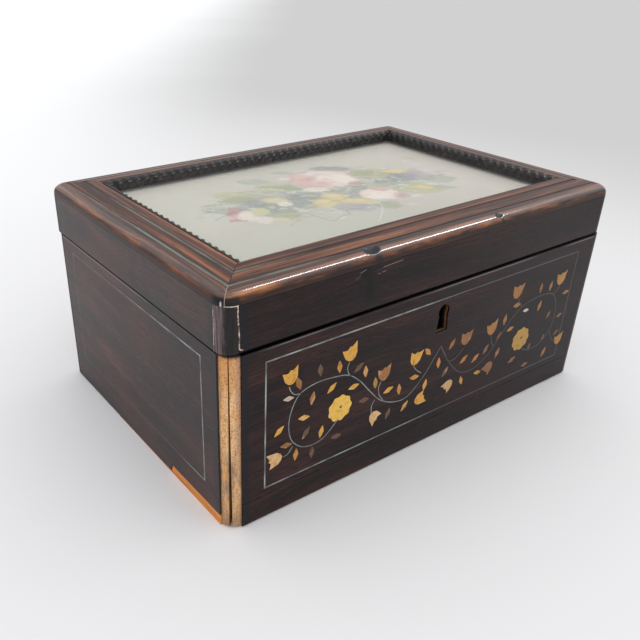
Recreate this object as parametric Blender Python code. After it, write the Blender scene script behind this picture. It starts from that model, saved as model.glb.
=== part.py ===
"""Rosewood veneered box with a hinged lid that frames a glazed picture.

Sizes are in metres. X runs along the front from left to right, Y runs from the front to the
back and Z is up. The origin is at the middle of the underside. The case and the lid are drawn
round the same plan, and the lid then sits a little to the left, as its worn hinges leave it.
"""

import math

import bmesh
import bpy
from mathutils import Matrix, Vector

# Overall sizes
CASE_WIDTH = 0.254
CASE_DEPTH = 0.176
CASE_HEIGHT = 0.0920
LID_HEIGHT = 0.0292
SEAM = 0.0008
LID_SHIFT = 0.0010
CORNER_RADIUS = 0.007

# Softwood carcass and its veneer
WALL = 0.008
BOTTOM_THICKNESS = 0.006
VENEER = 0.0009
GLUE_GAP = 0.0003
ARRIS = 0.0004
LID_ARRIS = 0.0002
FOOT_ARRIS = 0.0012
CORNER_REACH = 0.0075
FRONT_STRIP_HEIGHT = 0.0135
STRIP_JOINT = 0.0002

# Damage at the front left corner: an open mitre, and veneer lost along the foot of the left side
OPEN_MITRE_TOP = 0.0004
OPEN_MITRE_FOOT = 0.0016
LOST_STRIP_HEIGHT = 0.0062
LOST_STRIP_END_HEIGHT = 0.0056
LOST_STRIP_LENGTH = 0.045
LOST_SLIVER_HEIGHT = 0.0014
LOST_SLIVER_LENGTH = 0.062
LIPPING_SINK = 0.0003

# Moulding that frames the top of the lid
RAIL_WIDTH = 0.0206
MOULDING_HEIGHT = 0.0074
BULLNOSE_RUN = 0.0066
BULLNOSE_RISE = 0.0047
RAIL_FALL = 0.0022
RAIL_FALL_POWER = 1.5
RAIL_REBATE = 0.0014
GROOVE_WIDTH = 0.0016
GROOVE_DEPTH = 0.0005
OUTER_GROOVE = 0.0075
INNER_GROOVE = 0.0145
CHIP_OFFSET = -0.0505
CHIP_LENGTH = 0.0080
NICK_OFFSET = 0.034
NICK_LENGTH = 0.0042
SCOOP_INSET = 0.0042
SCOOP_WIDTH_SHARE = 0.62
SCOOP_HEIGHT_SHARE = 0.42
SCOOP_DEPTH_SHARE = 0.15
SCOOP_TURN = math.radians(-24)

# Picture, glass and ripple moulding in the frame
RIPPLE_WIDTH = 0.0034
RIPPLE_PITCH = 0.00545
RIPPLE_DEPTH = 0.24
RIPPLE_TURN = 0.65
RIPPLE_FADE_POWER = 0.5
RIPPLE_FULLNESS = 0.5
PICTURE_SINK = 0.0060
GLASS_THICKNESS = 0.0016
PICTURE_THICKNESS = 0.0005
LID_BOARD_THICKNESS = 0.005

# Keyhole
KEYHOLE_TOP = 0.0105
KEYHOLE_HEIGHT = 0.015
KEYHOLE_RADIUS = 0.0038
KEYHOLE_NECK = 0.0062
KEYHOLE_FOOT = 0.0080

# Lock and the link plate that drops into it
LOCK_WIDTH = 0.038
LOCK_BELOW_KEYHOLE = 0.006
LOCK_DEPTH = 0.005
SELVEDGE_WIDTH = 0.050
SELVEDGE_THICKNESS = 0.0013
TONGUE_SPACING = 0.020
TONGUE_WIDTH = 0.0016
TONGUE_DEPTH = 0.0026
TONGUE_LENGTH = 0.0060
TONGUE_ROOM = 0.0004
LINK_WIDTH = 0.044

# Butt hinges let into the back edges
HINGE_FROM_END = 0.052
HINGE_LENGTH = 0.030
HINGE_LEAF = 0.0010
HINGE_LEAF_REACH = 0.0075
HINGE_PROUD = 0.0006
KNUCKLE_RADIUS = 0.0021
KNUCKLE_ROOM = 0.0004
PIN_RADIUS = 0.0008
PIN_ROOM = 0.0003

# Facets
CORNER_STEPS = 6
BULLNOSE_STEPS = 6
LOBE_STEPS = 4
RIPPLE_SIDES = 4
SCOOP_SIDES = 12
KNUCKLE_SIDES = 14
KEYHOLE_STEPS = 10
MERGE_DISTANCE = 0.00001
SMOOTH_BELOW = math.radians(40)

# Places worked out from the sizes above
CARCASS_INSET = VENEER + GLUE_GAP
INNER_INSET = CARCASS_INSET + WALL
LID_FOOT = CASE_HEIGHT + SEAM
LID_TOP = LID_FOOT + LID_HEIGHT
MOULDING_FOOT = LID_TOP - MOULDING_HEIGHT
GLASS_TOP = LID_TOP - PICTURE_SINK
GLASS_FOOT = GLASS_TOP - GLASS_THICKNESS
PICTURE_TOP = GLASS_FOOT - GLUE_GAP
PICTURE_FOOT = PICTURE_TOP - PICTURE_THICKNESS
LID_BOARD_TOP = PICTURE_FOOT - GLUE_GAP
HINGE_AXIS = Vector((0.0, CASE_DEPTH / 2 + HINGE_PROUD, CASE_HEIGHT + SEAM / 2))
CASE_PLACE = Vector((LID_SHIFT / 2, 0.0, 0.0))
LID_PLACE = Vector((-LID_SHIFT / 2, 0.0, 0.0))

SIDES = {
    "front": Vector((0.0, -1.0, 0.0)),
    "right": Vector((1.0, 0.0, 0.0)),
    "back": Vector((0.0, 1.0, 0.0)),
    "left": Vector((-1.0, 0.0, 0.0)),
}


def clear_scene():
    """Remove whatever the scene holds."""
    for thing in list(bpy.data.objects):
        bpy.data.objects.remove(thing, do_unlink=True)


def finish(name, colour, roughness, metallic=0.0, alpha=1.0):
    """Make a plain material for one kind of surface."""
    material = bpy.data.materials.new(name)
    material.use_nodes = True
    shader = material.node_tree.nodes["Principled BSDF"]
    shader.inputs["Base Color"].default_value = (*colour, 1.0)
    shader.inputs["Roughness"].default_value = roughness
    shader.inputs["Metallic"].default_value = metallic
    shader.inputs["Alpha"].default_value = alpha
    return material


def rounded_plan(inset):
    """Points of the box's plan, drawn in by an inset, counter-clockwise from the right side."""
    radius = max(CORNER_RADIUS - inset, 0.0)
    reach_x = CASE_WIDTH / 2 - inset - radius
    reach_y = CASE_DEPTH / 2 - inset - radius
    points = []
    for quarter, (side_x, side_y) in enumerate(((1, 1), (-1, 1), (-1, -1), (1, -1))):
        for step in range(CORNER_STEPS + 1):
            angle = math.pi / 2 * (quarter + step / CORNER_STEPS)
            x = side_x * reach_x + radius * math.cos(angle)
            y = side_y * reach_y + radius * math.sin(angle)
            points.append((x, y))
    return points


def ring(profile):
    """Sweep a closed profile of (inset, height) points all round the plan."""
    mesh = bmesh.new()
    loops = []
    for inset, height in profile:
        loops.append([mesh.verts.new((x, y, height)) for x, y in rounded_plan(inset)])
    for loop, following in zip(loops, loops[1:] + loops[:1]):
        for index, vertex in enumerate(loop):
            after = (index + 1) % len(loop)
            mesh.faces.new((vertex, loop[after], following[after], following[index]))
    bmesh.ops.remove_doubles(mesh, verts=mesh.verts, dist=MERGE_DISTANCE)
    bmesh.ops.recalc_face_normals(mesh, faces=mesh.faces)
    return mesh


def saw(mesh, point, outward):
    """Saw the mesh along a plane, drop what lies outward of it and close the cut."""
    cut = bmesh.ops.bisect_plane(
        mesh,
        geom=mesh.verts[:] + mesh.edges[:] + mesh.faces[:],
        plane_co=point,
        plane_no=outward,
        dist=MERGE_DISTANCE / 10,
        clear_outer=True,
    )
    edges = [part for part in cut["geom_cut"] if isinstance(part, bmesh.types.BMEdge)]
    bmesh.ops.edgeloop_fill(mesh, edges=edges)
    return mesh


def mitred(profile, side, open_corner=None):
    """One side of a swept ring, sawn at both ends to a mitre."""
    mesh = ring(profile)
    out = SIDES[side]
    for name, along in SIDES.items():
        if out.dot(along):
            continue
        corner_x = (out.x + along.x) * CASE_WIDTH / 2
        corner_y = (out.y + along.y) * CASE_DEPTH / 2
        corner = Vector((corner_x, corner_y, CASE_HEIGHT))
        across = (along - out).normalized()
        half_gap = GLUE_GAP / 2
        lean = 0.0
        if name == open_corner:
            half_gap = OPEN_MITRE_TOP / 2
            lean = (OPEN_MITRE_FOOT - OPEN_MITRE_TOP) / 2 / CASE_HEIGHT
        saw(mesh, corner - across * half_gap, across - Vector((0.0, 0.0, lean)))
    return mesh


def face_veneer(profile, side):
    """The stretch of a swept skin between two corner pieces."""
    mesh = ring(profile)
    out = SIDES[side]
    saw(mesh, Vector((0.0, 0.0, 0.0)), -out)
    for along in SIDES.values():
        if out.dot(along):
            continue
        reach = abs(along.x) * CASE_WIDTH / 2 + abs(along.y) * CASE_DEPTH / 2 - CORNER_REACH
        saw(mesh, along * (reach - STRIP_JOINT / 2), along)
    return mesh


def corner_veneer(profile, side_x, side_y):
    """The rounded stretch of a swept skin at one corner."""
    mesh = ring(profile)
    edge_x = side_x * (CASE_WIDTH / 2 - CORNER_REACH + STRIP_JOINT / 2)
    edge_y = side_y * (CASE_DEPTH / 2 - CORNER_REACH + STRIP_JOINT / 2)
    saw(mesh, Vector((edge_x, 0.0, 0.0)), Vector((-side_x, 0.0, 0.0)))
    saw(mesh, Vector((0.0, edge_y, 0.0)), Vector((0.0, -side_y, 0.0)))
    return mesh


def prism(outline, start, end, axis):
    """Extrude an outline along X or Y; its points are (across, height) pairs."""
    mesh = bmesh.new()
    if axis == "Y":
        corners = [mesh.verts.new((across, start, height)) for across, height in outline]
        travel = Vector((0.0, end - start, 0.0))
    else:
        corners = [mesh.verts.new((start, across, height)) for across, height in outline]
        travel = Vector((end - start, 0.0, 0.0))
    face = mesh.faces.new(corners)
    grown = bmesh.ops.extrude_face_region(mesh, geom=[face])
    moved = [part for part in grown["geom"] if isinstance(part, bmesh.types.BMVert)]
    bmesh.ops.translate(mesh, verts=moved, vec=travel)
    bmesh.ops.recalc_face_normals(mesh, faces=mesh.faces)
    return mesh


def block(low, high):
    """A plain block between two corners."""
    mesh = bmesh.new()
    size = [top - foot for foot, top in zip(low, high)]
    middle = [(top + foot) / 2 for foot, top in zip(low, high)]
    place = Matrix.Translation(middle) @ Matrix.Diagonal((*size, 1.0))
    bmesh.ops.create_cube(mesh, size=1.0, matrix=place)
    return mesh


def rod(radius, start, end, middle):
    """A round bar along X through a point, given as its Y and Z."""
    mesh = bmesh.new()
    turn = Matrix.Rotation(math.pi / 2, 4, "Y")
    bmesh.ops.create_cone(
        mesh,
        cap_ends=True,
        segments=KNUCKLE_SIDES,
        radius1=radius,
        radius2=radius,
        depth=end - start,
        matrix=Matrix.Translation(((start + end) / 2, middle.y, middle.z)) @ turn,
    )
    return mesh


def add_object(name, mesh):
    """Turn a mesh under construction into an object of the scene."""
    data = bpy.data.meshes.new(name)
    mesh.to_mesh(data)
    mesh.free()
    thing = bpy.data.objects.new(name, data)
    bpy.context.scene.collection.objects.link(thing)
    return thing


def add_empty(name, place):
    """A marker that carries pieces and is no piece itself."""
    marker = bpy.data.objects.new(name, None)
    marker.location = place
    bpy.context.scene.collection.objects.link(marker)
    return marker


class Assembly:
    """Pieces that move together, carried by one marker."""

    def __init__(self, name, pivot, place):
        self.marker = add_empty(name, pivot)
        self.offset = place - pivot

    def add(self, name, mesh, material, smooth=False, aligned=True):
        """Add a piece drawn in the box's own frame; an unaligned one ignores the lid's shift."""
        thing = add_object(name, mesh)
        thing.parent = self.marker
        thing.location = self.offset if aligned else -self.marker.location
        thing.data.materials.append(material)
        if smooth:
            thing.data.shade_smooth()
            thing.data.set_sharp_from_angle(angle=SMOOTH_BELOW)
        return thing

    def cutter(self, name, mesh, aligned=True):
        """Add a shape that only cuts or joins other pieces."""
        thing = add_object(name, mesh)
        thing.parent = self.marker
        thing.location = self.offset if aligned else -self.marker.location
        thing.hide_render = True
        thing.display_type = "WIRE"
        return thing


def shape_with(thing, tool, operation="DIFFERENCE"):
    """Cut a piece with a tool, or join the tool to it."""
    step = thing.modifiers.new(tool.name, "BOOLEAN")
    step.operation = operation
    step.solver = "EXACT"
    step.object = tool


def wall_profile(foot, top, foot_arris):
    """Section of a carcass board, its outer foot slightly rounded off."""
    return [
        (CARCASS_INSET + foot_arris, foot),
        (CARCASS_INSET, foot + foot_arris),
        (CARCASS_INSET, top),
        (INNER_INSET, top),
        (INNER_INSET, foot),
    ]


def skin_profile(foot, top, foot_arris, top_arris):
    """Section of the veneer, with its worn outer edges."""
    return [
        (foot_arris, foot),
        (0.0, foot + foot_arris),
        (0.0, top - top_arris),
        (top_arris, top),
        (VENEER, top),
        (VENEER, foot),
    ]


def rail_top(inset):
    """Height of the gently falling top of the moulding at a distance from its outer face."""
    share = (inset - BULLNOSE_RUN) / (RAIL_WIDTH - BULLNOSE_RUN)
    return LID_TOP - RAIL_FALL * (1.0 - share) ** RAIL_FALL_POWER


def rail_profile():
    """Section of the moulding: bullnose, two scratched grooves, inner edge and a rebate below."""
    foot = MOULDING_FOOT
    crest = LID_TOP - RAIL_FALL
    seat = INNER_INSET + GLUE_GAP
    points = [(seat, foot - RAIL_REBATE), (seat, foot), (0.0, foot)]
    for step in range(BULLNOSE_STEPS + 1):
        angle = math.pi / 2 * step / BULLNOSE_STEPS
        inset = BULLNOSE_RUN * (1 - math.cos(angle))
        points.append((inset, crest - BULLNOSE_RISE * (1 - math.sin(angle))))
    for middle in (OUTER_GROOVE, INNER_GROOVE):
        near = middle - GROOVE_WIDTH / 2
        far = middle + GROOVE_WIDTH / 2
        points.append((near, rail_top(near)))
        points.append((middle - GROOVE_WIDTH / 4, rail_top(middle) - GROOVE_DEPTH))
        points.append((middle + GROOVE_WIDTH / 4, rail_top(middle) - GROOVE_DEPTH))
        points.append((far, rail_top(far)))
    points.append((RAIL_WIDTH - ARRIS, LID_TOP))
    points.append((RAIL_WIDTH, LID_TOP - ARRIS))
    points.append((RAIL_WIDTH, foot - RAIL_REBATE))
    return points


def ripple_strip(length, foot, top):
    """A strip along X whose rounded face is carved into slanting lobes; its back is at Y zero."""
    mesh = bmesh.new()
    height = top - foot
    stations = LOBE_STEPS * round(length / RIPPLE_PITCH)
    sections = []
    for station in range(stations + 1):
        along = length * (station / stations - 0.5)
        section = [mesh.verts.new((along, 0.0, foot))]
        for step in range(RIPPLE_SIDES + 1):
            angle = math.pi / 2 * step / RIPPLE_SIDES
            turn = station / LOBE_STEPS + RIPPLE_TURN * step / RIPPLE_SIDES
            hollow = (1.0 - math.cos(2 * math.pi * turn)) / 2
            fade = abs(math.sin(2 * angle)) ** RIPPLE_FADE_POWER
            reach = 1.0 - RIPPLE_DEPTH * hollow * fade
            out = RIPPLE_WIDTH * reach * max(math.cos(angle), 0.0) ** RIPPLE_FULLNESS
            rise = height * reach * math.sin(angle) ** RIPPLE_FULLNESS
            section.append(mesh.verts.new((along, -out, foot + rise)))
        sections.append(section)
    for section, following in zip(sections, sections[1:]):
        for index, vertex in enumerate(section):
            after = (index + 1) % len(section)
            mesh.faces.new((vertex, section[after], following[after], following[index]))
    mesh.faces.new(sections[0])
    mesh.faces.new(sections[-1])
    bmesh.ops.recalc_face_normals(mesh, faces=mesh.faces)
    return mesh


def keyhole_outline():
    """Round eye above a leg that widens to its foot, as (across, height) points."""
    top = CASE_HEIGHT - KEYHOLE_TOP
    eye = top - KEYHOLE_RADIUS
    foot = top - KEYHOLE_HEIGHT
    start = math.asin(KEYHOLE_NECK / 2 / KEYHOLE_RADIUS)
    points = [(-KEYHOLE_FOOT / 2, foot), (KEYHOLE_FOOT / 2, foot)]
    for step in range(KEYHOLE_STEPS + 1):
        angle = start + (2 * math.pi - 2 * start) * step / KEYHOLE_STEPS
        across = KEYHOLE_RADIUS * math.sin(angle)
        points.append((across, eye - KEYHOLE_RADIUS * math.cos(angle)))
    return points


def lock_outline(room):
    """The lock's case under its wider selvedge, seen from the front and grown by some room."""
    top = CASE_HEIGHT + room
    shoulder = CASE_HEIGHT - SELVEDGE_THICKNESS - room
    foot = CASE_HEIGHT - KEYHOLE_TOP - KEYHOLE_HEIGHT - LOCK_BELOW_KEYHOLE - room
    case = LOCK_WIDTH / 2 + room
    selvedge = SELVEDGE_WIDTH / 2 + room
    right = [(case, foot), (case, shoulder), (selvedge, shoulder), (selvedge, top)]
    return right + [(-across, height) for across, height in reversed(right)]


def link_outline():
    """The link plate with its two tongues, seen from the front."""
    plate_foot = CASE_HEIGHT + SEAM / 2
    plate_top = plate_foot + SELVEDGE_THICKNESS
    tip = plate_foot - SEAM / 2 - TONGUE_LENGTH
    half = LINK_WIDTH / 2
    inner = TONGUE_SPACING / 2 - TONGUE_WIDTH / 2
    outer = TONGUE_SPACING / 2 + TONGUE_WIDTH / 2
    tongue = [(inner, plate_foot), (inner, tip), (outer, tip), (outer, plate_foot)]
    right = tongue + [(half, plate_foot), (half, plate_top)]
    return right + [(-across, height) for across, height in reversed(right)]


def lost_veneer_outline():
    """What is missing from the foot of the left side, as (Y, Z) points from the front backwards."""
    start = -CASE_DEPTH / 2
    step_back = start + CORNER_REACH + LOST_STRIP_LENGTH
    end = step_back + LOST_SLIVER_LENGTH
    below = -LOST_STRIP_HEIGHT
    return [
        (start, below),
        (end, below),
        (end, GLUE_GAP),
        (step_back + LOST_SLIVER_HEIGHT, LOST_SLIVER_HEIGHT),
        (step_back, LOST_STRIP_END_HEIGHT),
        (start, LOST_STRIP_HEIGHT),
    ]


def lipping_outline():
    """The bare softwood edge that shows where the foot of the left veneer is lost."""
    start = -CASE_DEPTH / 2 + CORNER_REACH
    step_back = start + LOST_STRIP_LENGTH
    return [
        (start, 0.0),
        (step_back + LOST_SLIVER_LENGTH - GLUE_GAP, 0.0),
        (step_back + LOST_SLIVER_HEIGHT - GLUE_GAP, LOST_SLIVER_HEIGHT - GLUE_GAP),
        (step_back - GLUE_GAP, LOST_STRIP_END_HEIGHT - GLUE_GAP),
        (start, LOST_STRIP_HEIGHT - GLUE_GAP),
    ]


def scoop(length):
    """A shallow rounded shape, longest along X, that dents an edge."""
    mesh = bmesh.new()
    size = Matrix.Diagonal((length, length * SCOOP_WIDTH_SHARE, length * SCOOP_HEIGHT_SHARE, 1.0))
    bmesh.ops.create_uvsphere(
        mesh, u_segments=SCOOP_SIDES, v_segments=SCOOP_SIDES // 2, radius=0.5, matrix=size
    )
    return mesh


def build_case(case, pine, rosewood, brass):
    """The open box: boards, bottom, veneer, keyhole and lock."""
    boards = {}
    for side in SIDES:
        open_corner = {"front": "left", "left": "front"}.get(side)
        profile = wall_profile(0.0, CASE_HEIGHT, FOOT_ARRIS)
        boards[side] = case.add(side + "_board", mitred(profile, side, open_corner), pine, smooth=True)

    half_x = CASE_WIDTH / 2 - INNER_INSET - GLUE_GAP
    half_y = CASE_DEPTH / 2 - INNER_INSET - GLUE_GAP
    case.add("bottom_board", block((-half_x, -half_y, 0.0), (half_x, half_y, BOTTOM_THICKNESS)), pine)

    skin = skin_profile(GLUE_GAP, CASE_HEIGHT, FOOT_ARRIS / 2, ARRIS)
    veneers = {}
    for side in SIDES:
        mesh = face_veneer(skin, side)
        if side == "front":
            saw(mesh, Vector((0.0, 0.0, FRONT_STRIP_HEIGHT + STRIP_JOINT)), Vector((0.0, 0.0, -1.0)))
        veneers[side] = case.add(side + "_veneer", mesh, rosewood)
    strip = face_veneer(skin, "front")
    saw(strip, Vector((0.0, 0.0, FRONT_STRIP_HEIGHT)), Vector((0.0, 0.0, 1.0)))
    case.add("front_foot_veneer", strip, rosewood)
    for name, side_x, side_y in (("front_right", 1, -1), ("back_right", 1, 1), ("back_left", -1, 1)):
        case.add("corner_veneer_" + name, corner_veneer(skin, side_x, side_y), rosewood, smooth=True)

    half = CASE_WIDTH / 2
    lost = prism(lost_veneer_outline(), -half - VENEER, -half + VENEER + GLUE_GAP / 2, "X")
    shape_with(veneers["left"], case.cutter("lost_veneer", lost))
    lipping = prism(lipping_outline(), -half + LIPPING_SINK, -half + CARCASS_INSET - STRIP_JOINT, "X")
    case.add("left_foot_lipping", lipping, pine)

    front = -CASE_DEPTH / 2
    inside = front + INNER_INSET
    keyhole_shape = prism(keyhole_outline(), front - WALL, inside - LOCK_DEPTH / 2, "Y")
    keyhole = case.cutter("keyhole", keyhole_shape)
    mortise = prism(lock_outline(GLUE_GAP), inside - LOCK_DEPTH - GLUE_GAP, inside + WALL, "Y")
    shape_with(boards["front"], case.cutter("lock_mortise", mortise))
    shape_with(boards["front"], keyhole)
    shape_with(veneers["front"], keyhole)

    lock = case.add("lock", prism(lock_outline(0.0), inside - LOCK_DEPTH, inside, "Y"), brass)
    shape_with(lock, keyhole)
    middle = inside - LOCK_DEPTH / 2
    deep = CASE_HEIGHT - TONGUE_LENGTH - 2 * TONGUE_ROOM
    for name, place in (("left", -TONGUE_SPACING / 2), ("right", TONGUE_SPACING / 2)):
        half_slot = TONGUE_WIDTH / 2 + TONGUE_ROOM
        half_depth = TONGUE_DEPTH / 2 + TONGUE_ROOM
        low = (place - half_slot, middle - half_depth, deep)
        high = (place + half_slot, middle + half_depth, CASE_HEIGHT + WALL)
        shape_with(lock, case.cutter("tongue_slot_" + name, block(low, high)))
    return boards, veneers


def build_lid(lid, pine, rosewood, moulding, ebonised, glass, paint, brass):
    """The lid: boards, veneer, mitred moulding, ripple strips, glass, picture and board."""
    boards = {}
    veneers = {}
    skin = skin_profile(LID_FOOT, MOULDING_FOOT - GLUE_GAP, ARRIS, LID_ARRIS)
    for side in SIDES:
        profile = wall_profile(LID_FOOT, MOULDING_FOOT - GLUE_GAP, ARRIS)
        boards[side] = lid.add("lid_" + side + "_board", mitred(profile, side), pine, smooth=True)
        veneers[side] = lid.add("lid_" + side + "_veneer", face_veneer(skin, side), rosewood)
    for front_back, side_y in (("front", -1), ("back", 1)):
        for left_right, side_x in (("left", -1), ("right", 1)):
            name = "lid_corner_" + front_back + "_" + left_right
            lid.add(name, corner_veneer(skin, side_x, side_y), rosewood, smooth=True)

    rails = {}
    for side in SIDES:
        rail = mitred(rail_profile(), side)
        rails[side] = lid.add("lid_" + side + "_moulding", rail, moulding, smooth=True)
    crest = LID_TOP - RAIL_FALL
    for name, place, length in (
        ("chip", CHIP_OFFSET, CHIP_LENGTH), ("nick", NICK_OFFSET, NICK_LENGTH)
    ):
        shape = scoop(length)
        rise = length * (SCOOP_HEIGHT_SHARE / 2 - SCOOP_DEPTH_SHARE)
        spot = Matrix.Translation((place, -CASE_DEPTH / 2 + SCOOP_INSET, crest + rise))
        turn = Matrix.Rotation(SCOOP_TURN, 4, "Z")
        bmesh.ops.transform(shape, matrix=spot @ turn, verts=shape.verts)
        shape_with(rails["front"], lid.cutter("moulding_" + name, shape))

    open_x = CASE_WIDTH / 2 - RAIL_WIDTH - GLUE_GAP
    open_y = CASE_DEPTH / 2 - RAIL_WIDTH - GLUE_GAP
    foot = GLASS_TOP + GLUE_GAP
    back = ripple_strip(2 * open_x, foot, LID_TOP)
    bmesh.ops.translate(back, verts=back.verts, vec=(0.0, open_y, 0.0))
    lid.add("ripple_back", back, ebonised, smooth=True)
    length = 2 * open_y - RIPPLE_WIDTH - GLUE_GAP
    for side, turn in (("left", math.pi / 2), ("right", -math.pi / 2)):
        strip = ripple_strip(length, foot, LID_TOP)
        middle = Vector((SIDES[side].x * open_x, -open_y + length / 2, 0.0))
        place = Matrix.Translation(middle) @ Matrix.Rotation(turn, 4, "Z")
        bmesh.ops.transform(strip, matrix=place, verts=strip.verts)
        lid.add("ripple_" + side, strip, ebonised, smooth=True)

    lid.add("glass", block((-open_x, -open_y, GLASS_FOOT), (open_x, open_y, GLASS_TOP)), glass)
    lid.add("picture", block((-open_x, -open_y, PICTURE_FOOT), (open_x, open_y, PICTURE_TOP)), paint)
    half_x = CASE_WIDTH / 2 - INNER_INSET - GLUE_GAP
    half_y = CASE_DEPTH / 2 - INNER_INSET - GLUE_GAP
    board_top = min(LID_BOARD_TOP, MOULDING_FOOT - RAIL_REBATE - GLUE_GAP)
    board = block((-half_x, -half_y, board_top - LID_BOARD_THICKNESS), (half_x, half_y, board_top))
    lid.add("lid_board", board, pine)

    middle = -CASE_DEPTH / 2 + INNER_INSET - LOCK_DEPTH / 2
    link = prism(link_outline(), middle - TONGUE_DEPTH / 2, middle + TONGUE_DEPTH / 2, "Y")
    link_piece = lid.add("lock_link", link, brass, aligned=False)
    link_piece.location += CASE_PLACE
    half_link = LINK_WIDTH / 2 + GLUE_GAP
    half_depth = TONGUE_DEPTH / 2 + GLUE_GAP
    low = (-half_link, middle - half_depth, CASE_HEIGHT)
    high = (half_link, middle + half_depth, LID_FOOT + SELVEDGE_THICKNESS)
    recess = lid.cutter("link_recess", block(low, high), aligned=False)
    recess.location += CASE_PLACE
    shape_with(boards["front"], recess)
    return boards, veneers


def build_hinge(name, place, case, lid, brass, let_into_case, let_into_lid):
    """One butt hinge: a leaf on the case with two knuckles, one on the lid with one, and a pin."""
    start = place - HINGE_LENGTH / 2
    third = HINGE_LENGTH / 3
    spans = [(start + third * index, start + third * (index + 1)) for index in range(3)]
    leaf_low = HINGE_AXIS.y - HINGE_PROUD - HINGE_LEAF_REACH
    half_room = GLUE_GAP / 2
    bore = PIN_RADIUS + PIN_ROOM

    for group, half, own, other, targets, drop in (
        (case, "lower", (0, 2), (1,), let_into_case, -1.0),
        (lid, "upper", (1,), (0, 2), let_into_lid, 1.0),
    ):
        near_face = HINGE_AXIS.z + drop * half_room
        faces = sorted((near_face, near_face + drop * HINGE_LEAF))
        leaf = block((start, leaf_low, faces[0]), (start + HINGE_LENGTH, HINGE_AXIS.y - bore, faces[1]))
        title = "hinge_" + name + "_" + half
        piece = group.add(title, leaf, brass, aligned=False)
        for index in own:
            low, high = spans[index]
            trim_low = half_room if index else 0.0
            trim_high = half_room if index < 2 else 0.0
            knuckle = rod(KNUCKLE_RADIUS, low + trim_low, high - trim_high, HINGE_AXIS)
            tool = group.cutter(title + "_knuckle_" + str(index), knuckle, aligned=False)
            shape_with(piece, tool, "UNION")
        for index in other:
            low, high = spans[index]
            room = rod(KNUCKLE_RADIUS + KNUCKLE_ROOM, low - half_room, high + half_room, HINGE_AXIS)
            tool = group.cutter(title + "_room_" + str(index), room, aligned=False)
            shape_with(piece, tool)
        hole = rod(bore, start - third, start + HINGE_LENGTH + third, HINGE_AXIS)
        shape_with(piece, group.cutter(title + "_bore", hole, aligned=False))

        sunk = HINGE_AXIS.z + drop * (half_room + HINGE_LEAF + GLUE_GAP)
        levels = sorted((HINGE_AXIS.z - drop * SEAM, sunk))
        seat_low = (start - GLUE_GAP, leaf_low - GLUE_GAP, levels[0])
        seat_high = (start + HINGE_LENGTH + GLUE_GAP, CASE_DEPTH, levels[1])
        seat = group.cutter(title + "_seat", block(seat_low, seat_high), aligned=False)
        barrel_start = seat_low[0] - GLUE_GAP
        barrel_end = seat_high[0] + GLUE_GAP
        barrel = rod(KNUCKLE_RADIUS + KNUCKLE_ROOM, barrel_start, barrel_end, HINGE_AXIS)
        barrel_room = group.cutter(title + "_barrel", barrel, aligned=False)
        for target in targets:
            shape_with(target, seat)
            shape_with(target, barrel_room)

    pin = rod(PIN_RADIUS, start, start + HINGE_LENGTH, HINGE_AXIS)
    case.add("hinge_" + name + "_pin", pin, brass, smooth=True, aligned=False)


def main():
    """Build the box with its lid closed."""
    clear_scene()
    pine = finish("pine", (0.50, 0.31, 0.15), 0.7)
    rosewood = finish("rosewood", (0.035, 0.020, 0.018), 0.35)
    moulding = finish("rosewood moulding", (0.16, 0.065, 0.035), 0.3)
    ebonised = finish("ebonised ripple", (0.012, 0.011, 0.011), 0.3)
    glass = finish("glass", (0.90, 0.93, 0.92), 0.05, alpha=0.25)
    paint = finish("painted picture", (0.56, 0.55, 0.49), 0.6)
    brass = finish("brass", (0.55, 0.40, 0.17), 0.35, metallic=1.0)

    case = Assembly("case_marker", Vector((0.0, 0.0, 0.0)), CASE_PLACE)
    lid = Assembly("lid_marker", HINGE_AXIS, LID_PLACE)
    boards, veneers = build_case(case, pine, rosewood, brass)
    lid_boards, lid_veneers = build_lid(lid, pine, rosewood, moulding, ebonised, glass, paint, brass)
    hinge_x = CASE_WIDTH / 2 - HINGE_FROM_END
    for name, place in (("left", -hinge_x), ("right", hinge_x)):
        targets = (boards["back"], veneers["back"])
        lid_targets = (lid_boards["back"], lid_veneers["back"])
        build_hinge(name, place, case, lid, brass, targets, lid_targets)


main()
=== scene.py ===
import logging
import math
from dataclasses import dataclass, replace
from enum import Enum
from typing import Protocol

import bmesh
import bpy
import numpy as np
from mathutils import Matrix, Vector


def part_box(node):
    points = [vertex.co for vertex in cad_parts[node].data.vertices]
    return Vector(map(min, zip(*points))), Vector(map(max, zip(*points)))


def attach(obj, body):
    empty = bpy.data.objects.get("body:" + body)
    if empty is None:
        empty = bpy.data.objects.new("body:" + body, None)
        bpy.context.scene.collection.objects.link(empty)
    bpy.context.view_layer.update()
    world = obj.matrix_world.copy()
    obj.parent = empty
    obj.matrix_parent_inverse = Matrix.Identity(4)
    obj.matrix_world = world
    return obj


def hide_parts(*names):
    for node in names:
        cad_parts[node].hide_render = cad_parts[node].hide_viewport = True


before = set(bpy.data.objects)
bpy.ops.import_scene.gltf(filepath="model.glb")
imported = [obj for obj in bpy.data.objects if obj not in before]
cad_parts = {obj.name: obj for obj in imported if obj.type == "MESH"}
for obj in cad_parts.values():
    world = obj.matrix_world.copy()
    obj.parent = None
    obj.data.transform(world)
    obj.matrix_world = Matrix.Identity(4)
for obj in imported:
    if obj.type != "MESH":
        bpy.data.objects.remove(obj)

LOG = logging.getLogger("rosewood_box")

MM = 0.001
CASE = "case"
LID = "lid"

FRONT = -88.0 * MM              # the case's front face
SEAM = 92.4 * MM                # where the lid meets the case
GROOVES = (7.5 * MM, 14.5 * MM)  # the moulding's grooves, from its outer face
GROOVE_HALF = 0.8 * MM

Colour = tuple[float, float, float, float]
Point = tuple[float, float]
Spot = tuple[float, float, float]


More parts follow.
